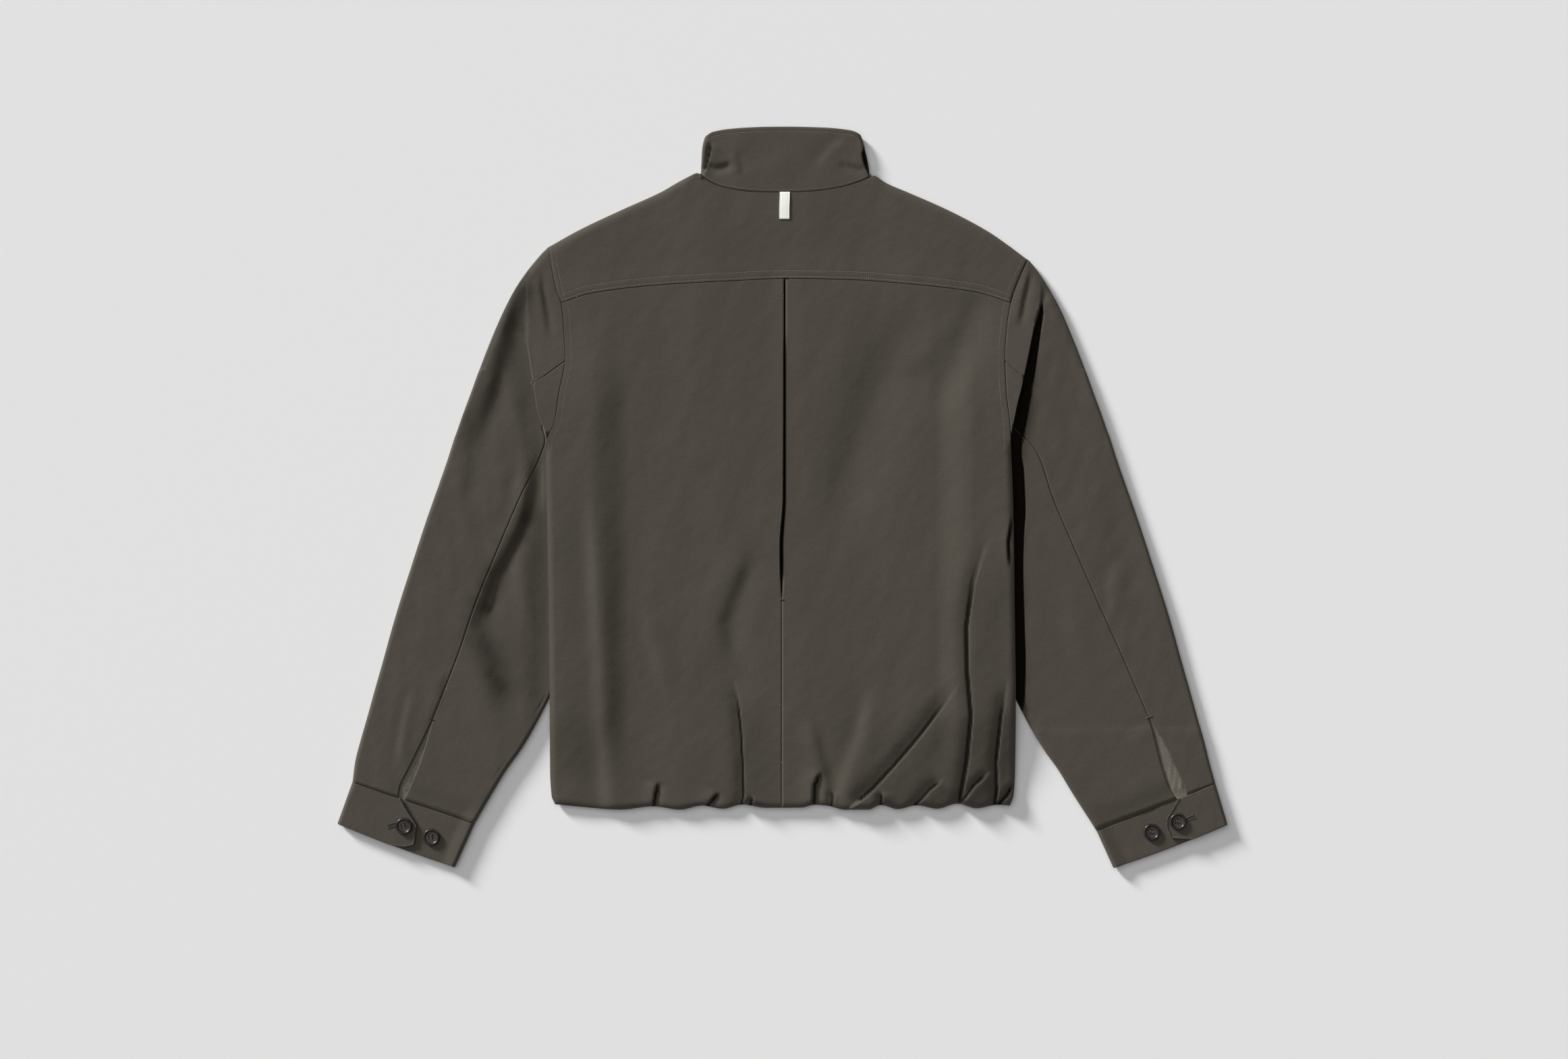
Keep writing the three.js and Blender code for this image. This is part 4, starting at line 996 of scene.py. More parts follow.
# ------------------------------------------------------------------ stand collar
# A stiffened stand collar of two layers, folded flat: from one front end round a side, the
# nape and the other side. It buckles at the sides, where it turns to the front.
COLLAR_WALL = 2.5
FRONT_GAP = 10.4
COLLAR_FRONT = 64
COLLAR_HEIGHT = 48
COLLAR_ROW = 5.4
COLLAR_TOP = table(("x", "y"), [
    (-78, 379.8), (-72.1, 381.9), (-58.4, 384.5), (-38, 386.2), (-17.2, 387), (6.7, 387.2),
    (44.5, 386.2), (70.2, 383.6), (77, 381.6), (80, 379.8)])
COLLAR_SIDES = table(("part", "left", "right"), [
    (0, -88.9, 95.8), (0.15, -85.3, 91.5), (0.4, -84.7, 89.8), (0.7, -83.9, 86.6),
    (0.86, -82.4, 84.6), (0.95, -80.4, 82.2), (1, -77.6, 79.4)])
FRONT_NECK = table(("x", "y"), [(0, 258), (25, 264), (50, 283), (74, 312), (92, 337.5)])
COLLAR_FOLDS = [
    Fold(-1, 2.8, 5, 0.9, 10, 0.6, [(-74, 372), (-75, 362), (-77, 354), (-80, 344)], dark=1.1,
         open_end=True),
    Fold(-1, 2.6, 7, 0.4, 12, 3, [(-82, 350), (-70, 345), (-60, 347), (-52, 352)]),
    Fold(1, 0.7, 10, 0.8, 10, 3, [(-50, 362), (-46, 351), (-42, 336)]),
    Fold(1, 4.2, 7, 0.6, 9, 0.6, [(85, 376), (86.4, 367), (84, 359), (85, 352), (88, 343)],
         dark=3.2, open_end=True),
    Fold(1, 1.5, 7, 0.4, 12, 3, [(89, 346), (80, 344), (68, 347), (58, 352)]),
    Fold(-1, 0.8, 10, 0.5, 14, 4, [(70, 378), (52, 366), (40, 352), (36, 340)]),
]
collar_edge = line(COLLAR_TOP, "x", "y")
collar_left = line(COLLAR_SIDES, "part", "left")
collar_right = line(COLLAR_SIDES, "part", "right")
front_neck = line(FRONT_NECK, "x", "y")


def collar_ring(v):
    """One level round the collar, from its seam (0) to its top edge (1)."""
    left, right = float(collar_left(v)), float(collar_right(v))
    bend = THICK / 2
    front_count, nape_count = 22, 116

    def gap(x):
        return 0.15 + 0.5 * smooth(60, 86, np.abs(x))

    def back(x):
        return mix(yoke_edge(np.clip(x, -88, 92)) + gap(x), collar_edge(x), v)

    def front(x):
        foot = front_neck(np.minimum(np.abs(x), 89)) + gap(x)
        return mix(foot, np.minimum(foot + COLLAR_FRONT, collar_edge(x) - 0.5), v)

    def side_turn(x, outwards, angles):
        y = mix(front(x), back(x), angles / math.pi)
        return np.column_stack([x + outwards * bend * np.sin(angles), y,
                                bend - bend * np.cos(angles)])

    across = np.linspace(0.0, 0.97, front_count)
    angles = np.linspace(0, math.pi, 15)[1:-1]
    left_front = mix(-FRONT_GAP / 2, left + bend, across)
    right_front = mix(right - bend, FRONT_GAP / 2, 1 - across[::-1])
    nape = np.linspace(left + bend, right - bend, nape_count)
    ring = np.concatenate([
        np.column_stack([left_front, front(left_front), np.zeros(front_count)]),
        side_turn(left + bend, -1, angles),
        np.column_stack([nape, back(nape), np.full(nape_count, THICK)]),
        side_turn(right - bend, 1, angles[::-1]),
        np.column_stack([right_front, front(right_front), np.zeros(front_count)])])
    x, y = ring[:, 0], ring[:, 1]
    lift = ring[:, 2] / THICK
    from_top = collar_edge(np.clip(x, -80, 84)) - y
    from_seam = y - yoke_edge(np.clip(x, -88, 92))
    rows = 0.12 * (stitch_dent(from_top - COLLAR_ROW) + stitch_dent(from_seam - 2.4))
    folds = np.clip(fold_height(x, y, COLLAR_FOLDS), -4.2, 1.2)
    relief = folds + 0.25 * ripple(x, y, 46, 21, 1.2) - rows
    rim = (1.25 * (1 - roundness((1 - v) * COLLAR_HEIGHT, 1.7))
           + 0.9 * (1 - roundness(v * COLLAR_HEIGHT, 1.5)))
    ring[:, 2] += smooth(0.35, 1, lift) * (relief - rim) + (1 - smooth(0, 0.3, lift)) * rim
    return ring


levels = np.concatenate([[0, 0.008, 0.02, 0.035, 0.05, 0.07], np.linspace(0.09, 0.93, 34),
                         [0.95, 0.965, 0.975, 0.984, 0.992, 1]])
collar_rings = np.array([collar_ring(v) for v in levels])
collar_x, collar_y, collar_z = np.moveaxis(collar_rings, 2, 0)
# Painted shade lies in the collar's sharp folds, on its upper layer.
collar = shell("collar_shell", collar_rings, cloth_material("collar_cloth"),
               thickness=COLLAR_WALL,
               hollow=fold_shade(collar_x, collar_y, COLLAR_FOLDS) * smooth(3, 4.5, collar_z))
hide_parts("collar")

# ------------------------------------------------------------------ cuffs
# One stiffened band for each cuff, from the point of its upper lap round both folds and back
# under the lap. The lap's edge is bound with a thick purl stitch and holds a worked buttonhole.
CUFF_WALL = 2.0
CUFF_LENGTH = 131
CUFF_DEPTH = 46
CUFF_CORNERS = {-1: ((449.7, -297.7), (322.1, -341.9), (465.4, -341.4), (342.4, -387.0)),
                1: ((453.2, -299.6), (329.0, -349.4), (466.0, -342.4), (346.4, -387.9))}
# The lap's edge: share down from the seam, share across from the outer fold.
LAP = {-1: [(0, 0.395), (0.2, 0.475), (0.44, 0.592), (0.83, 0.625), (0.93, 0.56), (1, 0.44)],
       1: [(0, 0.31), (0.13, 0.365), (0.36, 0.462), (0.52, 0.478), (0.78, 0.475), (0.9, 0.38),
           (1, 0.29)]}
LAP_LEVEL = THICK - CUFF_WALL - 0.3


def lap_end(side, down):
    return np.interp(down, *zip(*LAP[side]))


def cuff_rim(down):
    """Distance from the cuff's nearer long edge."""
    return np.minimum(down, 1 - down) * CUFF_DEPTH + 0.15


def on_cuff(side, across, down):
    """A place on the cuff: shares across from the outer fold and down from the seam."""
    seam_outer, seam_inner, hem_outer, hem_inner = (np.array(c) for c in CUFF_CORNERS[side])
    across, down = np.asarray(across, float)[..., None], np.asarray(down, float)[..., None]
    plan = mix(mix(seam_outer, seam_inner, across), mix(hem_outer, hem_inner, across), down)
    bow = -1.6 * np.sin(math.pi * np.clip(across[..., 0], 0, 1)) * down[..., 0] ** 3
    return side * plan[..., 0], plan[..., 1] + bow


def cuff_height(side, across, down):
    """The cuff's upper surface, on the lap and on the band below it."""
    x, y = on_cuff(side, across, down)
    on_lap = across <= lap_end(side, down)
    past = (across - lap_end(side, down)) * CUFF_LENGTH
    soft = 0.16 * ripple(x, y, 30, 31 + side, 1.2) - 0.9 * (1 - roundness(cuff_rim(down), 1.3))
    top = THICK + soft - 0.8 * (1 - roundness(-past + 0.1, 1.0))
    band = mix(THICK, LAP_LEVEL, smooth(0.985, 0.87, across)) + soft
    return np.where(on_lap, top, band)


def cuff_ring(side, down):
    """One level of the cuff: the lap, the outer fold, below, the inner fold, the band."""
    end, bend = float(lap_end(side, down)), THICK / 2 / CUFF_LENGTH
    radius, z = half_round(bend, THICK, 13)
    dense = np.array([0, 0.15, 0.3, 0.5, 0.75, 1.05, 1.5, 2.2, 3.2]) / CUFF_LENGTH
    lap = np.concatenate([end - dense, np.linspace(end - 4.6 / CUFF_LENGTH, bend, 40)])
    band = np.concatenate([np.linspace(1 - bend, end + 0.02, 44),
                           [end + 0.01, end, end - 0.02, end - 0.06]])
    band = np.minimum(band, 1 - bend)
    beside_lap = cuff_height(side, np.maximum(band, end + 1e-4), down)
    flat = np.linspace(bend, 1 - bend, 26)[1:-1]
    places = [(lap, cuff_height(side, lap, down)), (bend - radius, z), (flat, np.zeros(len(flat))),
              (1 - bend + radius, z[::-1]), (band, np.where(band > end, beside_lap, LAP_LEVEL))]
    rim = 0.8 * (1 - float(roundness(cuff_rim(down), 1.3)))
    across = np.concatenate([place for place, _ in places])
    height = np.concatenate([level for _, level in places])
    height = np.where(height < THICK / 2, height + rim, height)
    x, y = on_cuff(side, across, np.full(len(across), down))
    return np.column_stack([x, y, height])


cuff_cloth = cloth_material("cuff_cloth", turn=0.35)
downs = np.concatenate([[0, 0.004, 0.01, 0.02, 0.035], np.linspace(0.05, 0.95, 42),
                        [0.965, 0.98, 0.99, 0.996, 1]])
for side, word in SIDES.items():
    cuff_rings = np.array([cuff_ring(side, down) for down in downs])
    cuff = shell("cuff_shell_" + word, cuff_rings, cuff_cloth, facing=-side,
                 thickness=CUFF_WALL - 0.1)
    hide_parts("cuff_" + word)

# ------------------------------------------------------------------ corduroy behind the cuff slits
# The slits above the cuffs are faced with corduroy, whose ribs run down the slit and buckle
# where the sleeve is pushed together.
RIB_PITCH = 1.35


def corduroy_material():
    shader = Shader("corduroy", roughness=0.95, Sheen_Weight=0.45, Sheen_Roughness=0.4,
                    Specular_IOR_Level=0.2)
    pile = shader.noise(1500, detail=3, stretch=(1, 0.5, 1))
    worn = shader.noise(120, detail=3)
    # Painted shade: the rib valleys are blended to near black by the point attribute.
    valley = shader.attribute("hollow")
    ridge = shader.blend((0.14, 0.127, 0.102, 1), (0.24, 0.22, 0.18, 1), pile * 0.6 + worn * 0.4)
    shader.surface_input("Base Color", shader.blend(ridge, (0.018, 0.016, 0.013, 1), valley))
    shader.bump((pile, 0.0003))
    return shader.material


def corduroy_strip(side):
    """The facing seen in one slit, ribs down it, bulging where the slit gapes, with painted shade
    in the valleys between the ribs.
    """
    v, u = np.meshgrid(spread(0, 1, 1.6 / 90), spread(0, 1, 0.25 / 26), indexing="ij")
    y = mix(-230, -321, v)
    inner, outer = under_seam[side](y) - 4, top_seam[side](y) + 4
    x = mix(outer, inner, u)
    y = y - 12 * (u - 0.5)
    sway = 1.6 * ripple(y * 1.7, x * 0.2, 26, 41 + side) * smooth(0.25, 0.7, v)
    place = (u - 0.5) * 24 + sway
    rib = 0.5 + 0.5 * np.cos(2 * math.pi * place / RIB_PITCH)
    buckle = 0.9 * ripple(x * 1.6, y, 13, 43 + side, 2.6) * smooth(0.3, 0.8, v)
    width = (top_seam[side](y) - under_seam[side](y)) / 18
    bulge = 1.5 * np.sin(math.pi * np.clip((u - 0.12) / 0.76, 0, 1)) * np.clip(width, 0.25, 1)
    height = 5.7 + bulge + 0.5 * buckle + 0.38 * rib ** 0.7
    height = np.minimum(height, mix(7.7, 6.2, smooth(-300, -312, y)))
    return shell("corduroy_" + SIDES[side], np.stack([side * x, y, height], 2), corduroy_cloth,
                 facing=side, hollow=np.clip(1 - 1.25 * rib ** 0.6, 0, 1))


corduroy_cloth = corduroy_material()
for side, word in SIDES.items():
    strip = corduroy_strip(side)
    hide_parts("placket_" + word)

# ------------------------------------------------------------------ buttons
# Four-hole buttons of dark marbled horn, polished, with a raised rim round a dished face,
# sewn on with a few turns of brown thread from hole to hole.
BUTTON_RADIUS = 8.8
HOLE_RADIUS = 1.05
HOLE_OUT = 2.15
# Name, place of the foot in x, y and z, turn, and which way the thread runs.
BUTTONS = [("button_left_lap", -395.3, -343.5, THICK + 0.35, 0.35, True),
           ("button_left_spare", -366.9, -355.3, THICK - CUFF_WALL + 0.05, 0.1, True),
           ("button_right_lap", 413.2, -338.7, THICK + 0.35, -0.3, False),
           ("button_right_spare", 386.1, -350.0, THICK - CUFF_WALL + 0.05, -0.1, False)]


def horn_material():
    shader = Shader("dark_horn", roughness=0.3, Specular_IOR_Level=0.3, Coat_Weight=0.12,
                    Coat_Roughness=0.14)
    vein = shader.noise(260, detail=5, rough=0.7, stretch=(1, 0.35, 1), turn=0.6)
    shade = shader.ramp(vein, 0.4, 0.72)
    shader.surface_input("Base Color", shader.blend((0.0085, 0.0065, 0.006, 1),
                                                    (0.045, 0.030, 0.024, 1), shade))
    shader.surface_input("Roughness", 0.22 + 0.2 * shader.noise(900, detail=3))
    shader.bump((shader.noise(600, detail=2), 0.00004))
    return shader.material


def turned_faces(rings, around):
    """Faces of stacked rings of points, with a cap at each end."""
    ids = np.arange(rings * around).reshape(rings, around)
    following = np.roll(ids, -1, axis=1)
    sides = quads(ids[:-1], following[:-1], following[1:], ids[1:]).tolist()
    return sides + [ids[0][::-1].tolist(), ids[-1].tolist()]


def capped_mesh(name, points, faces):
    """A smooth mesh from points in millimetres and faces of any number of corners."""
    mesh = bpy.data.meshes.new(name)
    mesh.from_pydata((points * MM).tolist(), [], faces)
    for polygon in mesh.polygons:
        polygon.use_smooth = True
    mesh.update()
    return mesh


def button_mesh(name, x, y, z, turn):
    """A turned button, its rim from below outwards and up, its face drilled with four holes."""
    around, centre, face_radius, hole_depth = 96, 0.12, 5.7, 1.5
    rim = [(1.9, 0), (0.8, 0.25), (0.12, 0.9), (0, 1.5), (0.12, 2.1), (0.5, 2.75), (1.0, 3.1),
           (1.45, 3.2), (1.9, 3.05), (2.25, 2.7), (2.5, 2.35), (2.9, 2.12)]
    outline = [(centre, 0)] + [(BUTTON_RADIUS - inwards_by, height) for inwards_by, height in rim]
    outline += [(r, 1.86 + 0.2 * (r / 5.9) ** 2) for r in np.linspace(5.6, centre, 34)]
    holes = [math.pi / 4 + k * math.pi / 2 for k in range(4)]
    points = []
    for r, height in outline:
        for i in range(around):
            angle = 2 * math.pi * i / around
            px, py, pz = r * math.cos(angle), r * math.sin(angle), height
            if r < face_radius and height > 1:
                for hole in holes:
                    off = math.hypot(px - HOLE_OUT * math.cos(hole), py - HOLE_OUT * math.sin(hole))
                    pz -= hole_depth * float(smooth(HOLE_RADIUS + 0.12, HOLE_RADIUS - 0.18, off))
            points.append((px, py, pz))
    spin = np.array([[math.cos(turn), -math.sin(turn)], [math.sin(turn), math.cos(turn)]])
    points = np.array(points)
    points[:, :2] = points[:, :2] @ spin.T
    return capped_mesh(name, points + (x, y, z), turned_faces(len(outline), around))


def tube(points, radius, around):
    """Points and faces of a round strand along a few points, closed at its ends."""
    points = np.array(points, float)
    ahead = np.gradient(points, axis=0)
    ahead /= np.linalg.norm(ahead, axis=1, keepdims=True)
    side_way = np.cross(ahead, (0, 0, 1.0))
    side_way /= np.maximum(np.linalg.norm(side_way, axis=1, keepdims=True), 1e-6)
    up = np.cross(side_way, ahead)
    angles = np.linspace(0, 2 * math.pi, around, endpoint=False)
    ring = points[:, None] + radius * (side_way[:, None] * np.cos(angles)[None, :, None]
                                       + up[:, None] * np.sin(angles)[None, :, None])
    return ring.reshape(-1, 3), turned_faces(len(points), around)


def joined(name, strands, material):
    """Many strands as one mesh."""
    points, faces, first = [], [], 0
    for strand_points, strand_faces in strands:
        points.append(strand_points)
        faces += [[first + i for i in face] for face in strand_faces]
        first += len(strand_points)
    return placed(name, capped_mesh(name, np.concatenate(points), faces), material)


def thread_material(name, colour):
    shader = Shader(name, roughness=0.75, Sheen_Weight=0.2, Specular_IOR_Level=0.35)
    ply = shader.noise(2600, detail=2, stretch=(1, 0.4, 1))
    shader.surface_input("Base Color", shader.blend(tinted(colour, 0.6), tinted(colour), ply))
    shader.bump((ply, 0.00008))
    return shader.material


horn = horn_material()
brown_thread = thread_material("brown_thread", (0.10, 0.068, 0.052))
for name, x, y, z, turn, crossed in BUTTONS:
    button = placed(name + "_horn", button_mesh(name, x, y, z, turn), horn)
    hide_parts(name)
    corners = [turn + math.pi / 4 + k * math.pi / 2 for k in range(4)]
    holes = [np.array([x + HOLE_OUT * math.cos(a), y + HOLE_OUT * math.sin(a)]) for a in corners]
    pairs = [(0, 1), (2, 3)] if crossed else [(1, 2), (3, 0)]
    strands = []
    shares = np.linspace(0, 1, 9)
    arch = 1.0 + 1.25 * np.sin(math.pi * shares) ** 0.5
    for first, last in pairs:
        a, b = holes[first], holes[last]
        ahead = (b - a) / np.linalg.norm(b - a)
        for shift in (-0.34, 0.04, 0.4):
            off = np.array([-ahead[1], ahead[0]]) * shift
            plan = a + (b - a) * shares[:, None] + off
            strands.append(tube(np.column_stack([plan, z + arch]), 0.24, 7))
    joined(name + "_thread", strands, brown_thread)

# ------------------------------------------------------------------ tape loop at the nape
# A short loop of off-white woven tape, folded double and caught in the neck seam. It is plain.
TAPE = dict(left=-3.1, right=7.4, top=318.6, bottom=290.3, thick=0.5, turn=0.62)
TAPE_LEVEL = THICK + 0.25


def tape_material():
    shader = Shader("pale_tape", roughness=0.7, Sheen_Weight=0.2)
    ribs = shader.noise(700, detail=2, stretch=(0.2, 1, 1))
    shader.surface_input("Base Color", shader.blend((0.79, 0.795, 0.745, 1),
                                                    (0.85, 0.855, 0.81, 1), ribs))
    shader.bump((ribs, 0.00006))
    return shader.material


def tape_loop():
    """Two layers of tape, one down and one back up, with a round turn at the foot."""
    left, right, top, bottom = TAPE["left"], TAPE["right"], TAPE["top"], TAPE["bottom"]
    radius = TAPE["turn"]
    angles = np.linspace(math.pi / 2, -math.pi / 2, 13)
    down = spread(top, bottom + radius, 1.0)
    upper_z = np.full(len(down), TAPE_LEVEL + 2 * radius)
    path_y = np.concatenate([down, bottom + radius - radius * np.cos(angles)[1:-1], down[::-1]])
    path_z = np.concatenate([upper_z, TAPE_LEVEL + radius + radius * np.sin(angles)[1:-1],
                             np.full(len(down), TAPE_LEVEL)])
    across = np.array([0, 0.02, 0.05, 0.1, 0.16, 0.3, 0.5, 0.7, 0.84, 0.9, 0.95, 0.98, 1])
    y, u = np.meshgrid(path_y, across, indexing="ij")
    z = np.repeat(path_z[:, None], len(across), 1)
    edge = np.minimum(u, 1 - u) * (right - left)
    lean = 0.5 * smooth(300, 318, y)
    selvedge = 0.14 * np.exp(-((edge - 1.1) / 0.35) ** 2)
    sign = np.where(z > TAPE_LEVEL + radius, 1, -1)
    x = mix(left, right, u) + lean
    z = z - sign * selvedge + 0.35 * np.sin((318 - y) / 27 * math.pi) * (sign > 0)
    return shell("neck_tape", np.stack([x, y, z], 2), tape_material(), facing=-1,
                 thickness=TAPE["thick"])


tape = tape_loop()
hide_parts("neck_tab")

# ------------------------------------------------------------------ pleat underlay
# Behind the open pleat lies the strip that joins the two back panels, in deep shade, which is also
# painted over its whole surface.
STRIP_TOP, STRIP_FOOT = 226, -118
STRIP_WIDTH = 44


def pleat_strip():
    v, u = np.meshgrid(spread(0, 1, 4 / (STRIP_TOP - STRIP_FOOT)), spread(0, 1, 1.6 / STRIP_WIDTH),
                       indexing="ij")
    y = mix(STRIP_TOP, STRIP_FOOT, v)
    x = centre_line(y) + STRIP_WIDTH * (u - 0.5)
    valley = 1.6 * np.exp(-((x - centre_line(y)) / 4) ** 2)
    z = WALL + LAY - 0.9 - valley + 0.1 * ripple(x, y, 40, 51)
    # Painted shade, dark all over.
    return shell("pleat_strip", np.stack([x, y, z], 2), back_cloth, facing=-1, thickness=0.7,
                 hollow=np.full(x.shape, DEEP_SHADE))


underlay = pleat_strip()
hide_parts("pleat_underlay")

# ------------------------------------------------------------------ fronts, on the surface below
# The two fronts carry the garment's weight on the surface, so they are pressed flat, with
# the same gathers at the hem and their shoulder edges turned up to meet the yoke.
FRONT_TOP = 255


def front_edge(x):
    return np.where(np.abs(x) < NECK_HALF, front_neck(np.abs(x)), yoke_edge(x))


def front_under(x, y):
    """The fronts' lower surface, which lies on the ground but for its raised rims."""
    at_shoulder = smooth(NECK_HALF - 12, NECK_HALF + 8, np.abs(x))
    rim = np.minimum(rim_distance(x, y), (front_edge(x) - y) * 0.9 + 9 * (1 - at_shoulder))
    lift = body_lift(x, y)
    puckers = 0.9 * smooth(26, 4, y - hem_line(x)) * (0.5 + 0.5 * ripple(x, y * 0.3, 17, 61))
    creases = 0.25 * (1 + ripple(x, y, 60, 62, 2.0)) * smooth(0, 14, rim)
    return mix(lift + THICK / 2 - RIM_GAP, lift + creases + puckers, roundness(rim, 6))


def front_panel(side):
    wide, tall = 240, 580
    up = np.concatenate([[0, 0.0008, 0.002, 0.004, 0.007, 0.011, 0.016, 0.022, 0.03, 0.04, 0.05],
                         spread(0.06, 0.97, 5 / tall),
                         [0.978, 0.985, 0.99, 0.994, 0.997, 0.999, 1]])
    across = np.concatenate([[0, 0.003, 0.008], spread(0.02, 0.965, 4.2 / wide),
                             [0.974, 0.982, 0.988, 0.993, 0.997, 0.999, 1]])
    v, u = np.meshgrid(up, across, indexing="ij")
    level = mix(HEM_LEVEL, FRONT_TOP, v)

    def x_at(y):
        return mix(side * FRONT_GAP / 2, side_line[side](y) - side * EDGE_GAP, u)

    def y_at(x):
        above = (front_edge(x) - EDGE_GAP - FRONT_TOP) * v ** 3
        return level + above + (hem_line(x) - HEM_LEVEL) * (1 - v) ** 10

    x, y = settle(level, x_at, y_at)
    beside_placket = 1 - smooth(26, 24.5, np.abs(x)) * smooth(0, 1.2, np.abs(x) - FRONT_GAP / 2)
    z = front_under(x, y) + 0.6 * beside_placket * smooth(0, 8, rim_distance(x, y))
    return shell("front_shell_" + SIDES[side], np.stack([x, y, z], 2), front_cloth, facing=-side)


front_cloth = cloth_material("front_cloth")
for side, word in SIDES.items():
    front = front_panel(side)
    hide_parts("front_" + word)

# ------------------------------------------------------------------ zip
# The fronts close with a zip of moulded teeth on woven tape, from the hem up into the collar.
ZIP_TOP, ZIP_BOTTOM = 300, -312
TOOTH_PITCH = 2.8


def zip_tape():
    across = np.concatenate([[-15, -14.6], np.linspace(-13.6, 13.6, 27), [14.6, 15]])
    x, y = np.meshgrid(across, spread(ZIP_TOP, ZIP_BOTTOM, 6), indexing="xy")
    z = WALL - 0.1 + 0.12 * np.cos(2 * math.pi * x / 2.2)
    return shell("zip_tape", np.stack([x, y, z], 2), tape_cloth, thickness=0.6)


def zip_teeth():
    count = int((ZIP_TOP - ZIP_BOTTOM - 4) / TOOTH_PITCH)
    # One tooth's corners: its root at the tape's middle, then the head, below and above.
    corners = np.array([(0.2, -0.85, 0.5), (0.2, 0.85, 0.5), (2.9, 1.1, 0.5), (2.9, -1.1, 0.5),
                        (0.2, -0.7, 2.3), (0.2, 0.7, 2.3), (2.9, 0.95, 2.5), (2.9, -0.95, 2.5)])
    box = np.array([(0, 1, 2, 3), (7, 6, 5, 4), (0, 4, 5, 1), (1, 5, 6, 2), (2, 6, 7, 3),
                    (3, 7, 4, 0)])
    points, faces = [], []
    for i in range(2 * count):
        side = 1 if i % 2 else -1
        tooth = corners * (side, 1, 1) + (-side * 1.2, ZIP_BOTTOM + 3 + i * TOOTH_PITCH / 2, 0)
        turned = box if side < 0 else box[:, ::-1]
        faces.append(turned + 8 * i)
        points.append(tooth)
    mesh = mesh_from("zip_teeth", np.concatenate(points) * MM, np.concatenate(faces))
    mesh.polygons.foreach_set("use_smooth", np.zeros(len(mesh.polygons), dtype=bool))
    return placed("zip_teeth", mesh, metal)


def tooth_material():
    shader = Shader("zip_teeth_brown", roughness=0.4, Metallic=0.7)
    wear = shader.noise(300, detail=3)
    shader.surface_input("Base Color", shader.blend((0.055, 0.047, 0.038, 1),
                                                    (0.09, 0.078, 0.064, 1), wear))
    shader.surface_input("Roughness", 0.34 + 0.2 * wear)
    return shader.material


tape_cloth = cloth_material("zip_tape_cloth")
chain = zip_tape()
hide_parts("zip_chain")
metal = tooth_material()
teeth = zip_teeth()
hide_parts("zip_chain")
# The slider is a plain die-cast body whose solid is already right; only its metal is dressed.
slider = bpy.data.objects["zip_slider"]
slider.data.materials.clear()
slider.data.materials.append(metal)

# ------------------------------------------------------------------ stitches
# The seams are topstitched in one or two rows, in threads lighter than the cloth. Bartacks
# hold the slits and the pleat, and a purl edge and worked buttonholes finish the laps.
STITCH_PITCH = 2.15
STITCH_LIFT = 0.05
RAY_START = 60
ROW_STEP = 2
bpy.context.view_layer.update()
cloth_trees = [BVHTree.FromObject(piece, bpy.context.evaluated_depsgraph_get())
               for piece in bpy.data.objects if "_shell" in piece.name]


def on_cloth(x, y, lift=STITCH_LIFT):
    """A line in plan laid on the garment's upper surface."""
    points = []
    for px, py in zip(np.atleast_1d(x), np.atleast_1d(y)):
        above = (px * MM, py * MM, RAY_START * MM)
        hits = [tree.ray_cast(above, (0, 0, -1))[0] for tree in cloth_trees]
        heights = [hit.z / MM for hit in hits if hit]
        if heights:
            points.append((float(px), float(py), max(heights) + lift))
    return np.array(points)


def stitch_group():
    """Dashes of thread set at an even pitch along every line it is given."""
    group = bpy.data.node_groups.new("stitch_rows", "GeometryNodeTree")
    group.interface.new_socket("Geometry", in_out="INPUT", socket_type="NodeSocketGeometry")
    for name in ("Pitch", "Length", "Width", "Wander", "Slant"):
        group.interface.new_socket(name, in_out="INPUT", socket_type="NodeSocketFloat")
    group.interface.new_socket("Thread", in_out="INPUT", socket_type="NodeSocketMaterial")
    group.interface.new_socket("Geometry", in_out="OUTPUT", socket_type="NodeSocketGeometry")
    graph = Graph(group)
    start = group.nodes.new("NodeGroupInput")
    given = {socket.name: Value(graph, socket) for socket in start.outputs if socket.name}
    curve = graph.node("GeometryNodeMeshToCurve", Mesh=given["Geometry"])
    spaced = graph.node("GeometryNodeResampleCurve", settings={"mode": "LENGTH"}, Curve=curve,
                        Length=given["Pitch"])
    away = graph.node("FunctionNodeRandomValue", settings={"data_type": "FLOAT_VECTOR"},
                      in0=(-1, -1, -0.2), in1=(1, 1, 0.2), Seed=4)
    shift = graph.node("ShaderNodeVectorMath", settings={"operation": "SCALE"}, in0=away,
                       Scale=given["Wander"])
    set_out = graph.node("GeometryNodeSetPosition", Geometry=spaced, Offset=shift)
    ahead = graph.node("GeometryNodeInputTangent")
    along = graph.node("FunctionNodeAlignRotationToVector", settings={"axis": "X"}, Vector=ahead)
    slant = graph.node("FunctionNodeEulerToRotation",
                       Euler=graph.node("ShaderNodeCombineXYZ", Z=given["Slant"]))
    turned = graph.node("FunctionNodeRotateRotation", settings={"rotation_space": "LOCAL"},
                        Rotation=along, Rotate_By=slant)
    uneven = graph.node("FunctionNodeRandomValue", out=1, settings={"data_type": "FLOAT"}, in2=0.8,
                        in3=1.1, Seed=9)
    size = graph.node("ShaderNodeCombineXYZ", X=0.5 * given["Length"] * uneven,
                      Y=0.5 * given["Width"], Z=0.4 * given["Width"])
    dash = graph.node("GeometryNodeMeshUVSphere", Segments=6, Rings=4, Radius=1.0)
    dashes = graph.node("GeometryNodeInstanceOnPoints", Points=set_out, Instance=dash,
                        Rotation=turned, Scale=size)
    whole = graph.node("GeometryNodeRealizeInstances", Geometry=dashes)
    round_shaded = graph.node("GeometryNodeSetShadeSmooth", Geometry=whole)
    threaded = graph.node("GeometryNodeSetMaterial", Geometry=round_shaded,
                          Material=given["Thread"])
    end = group.nodes.new("NodeGroupOutput")
    graph.feed(end.inputs["Geometry"], threaded)
    return group


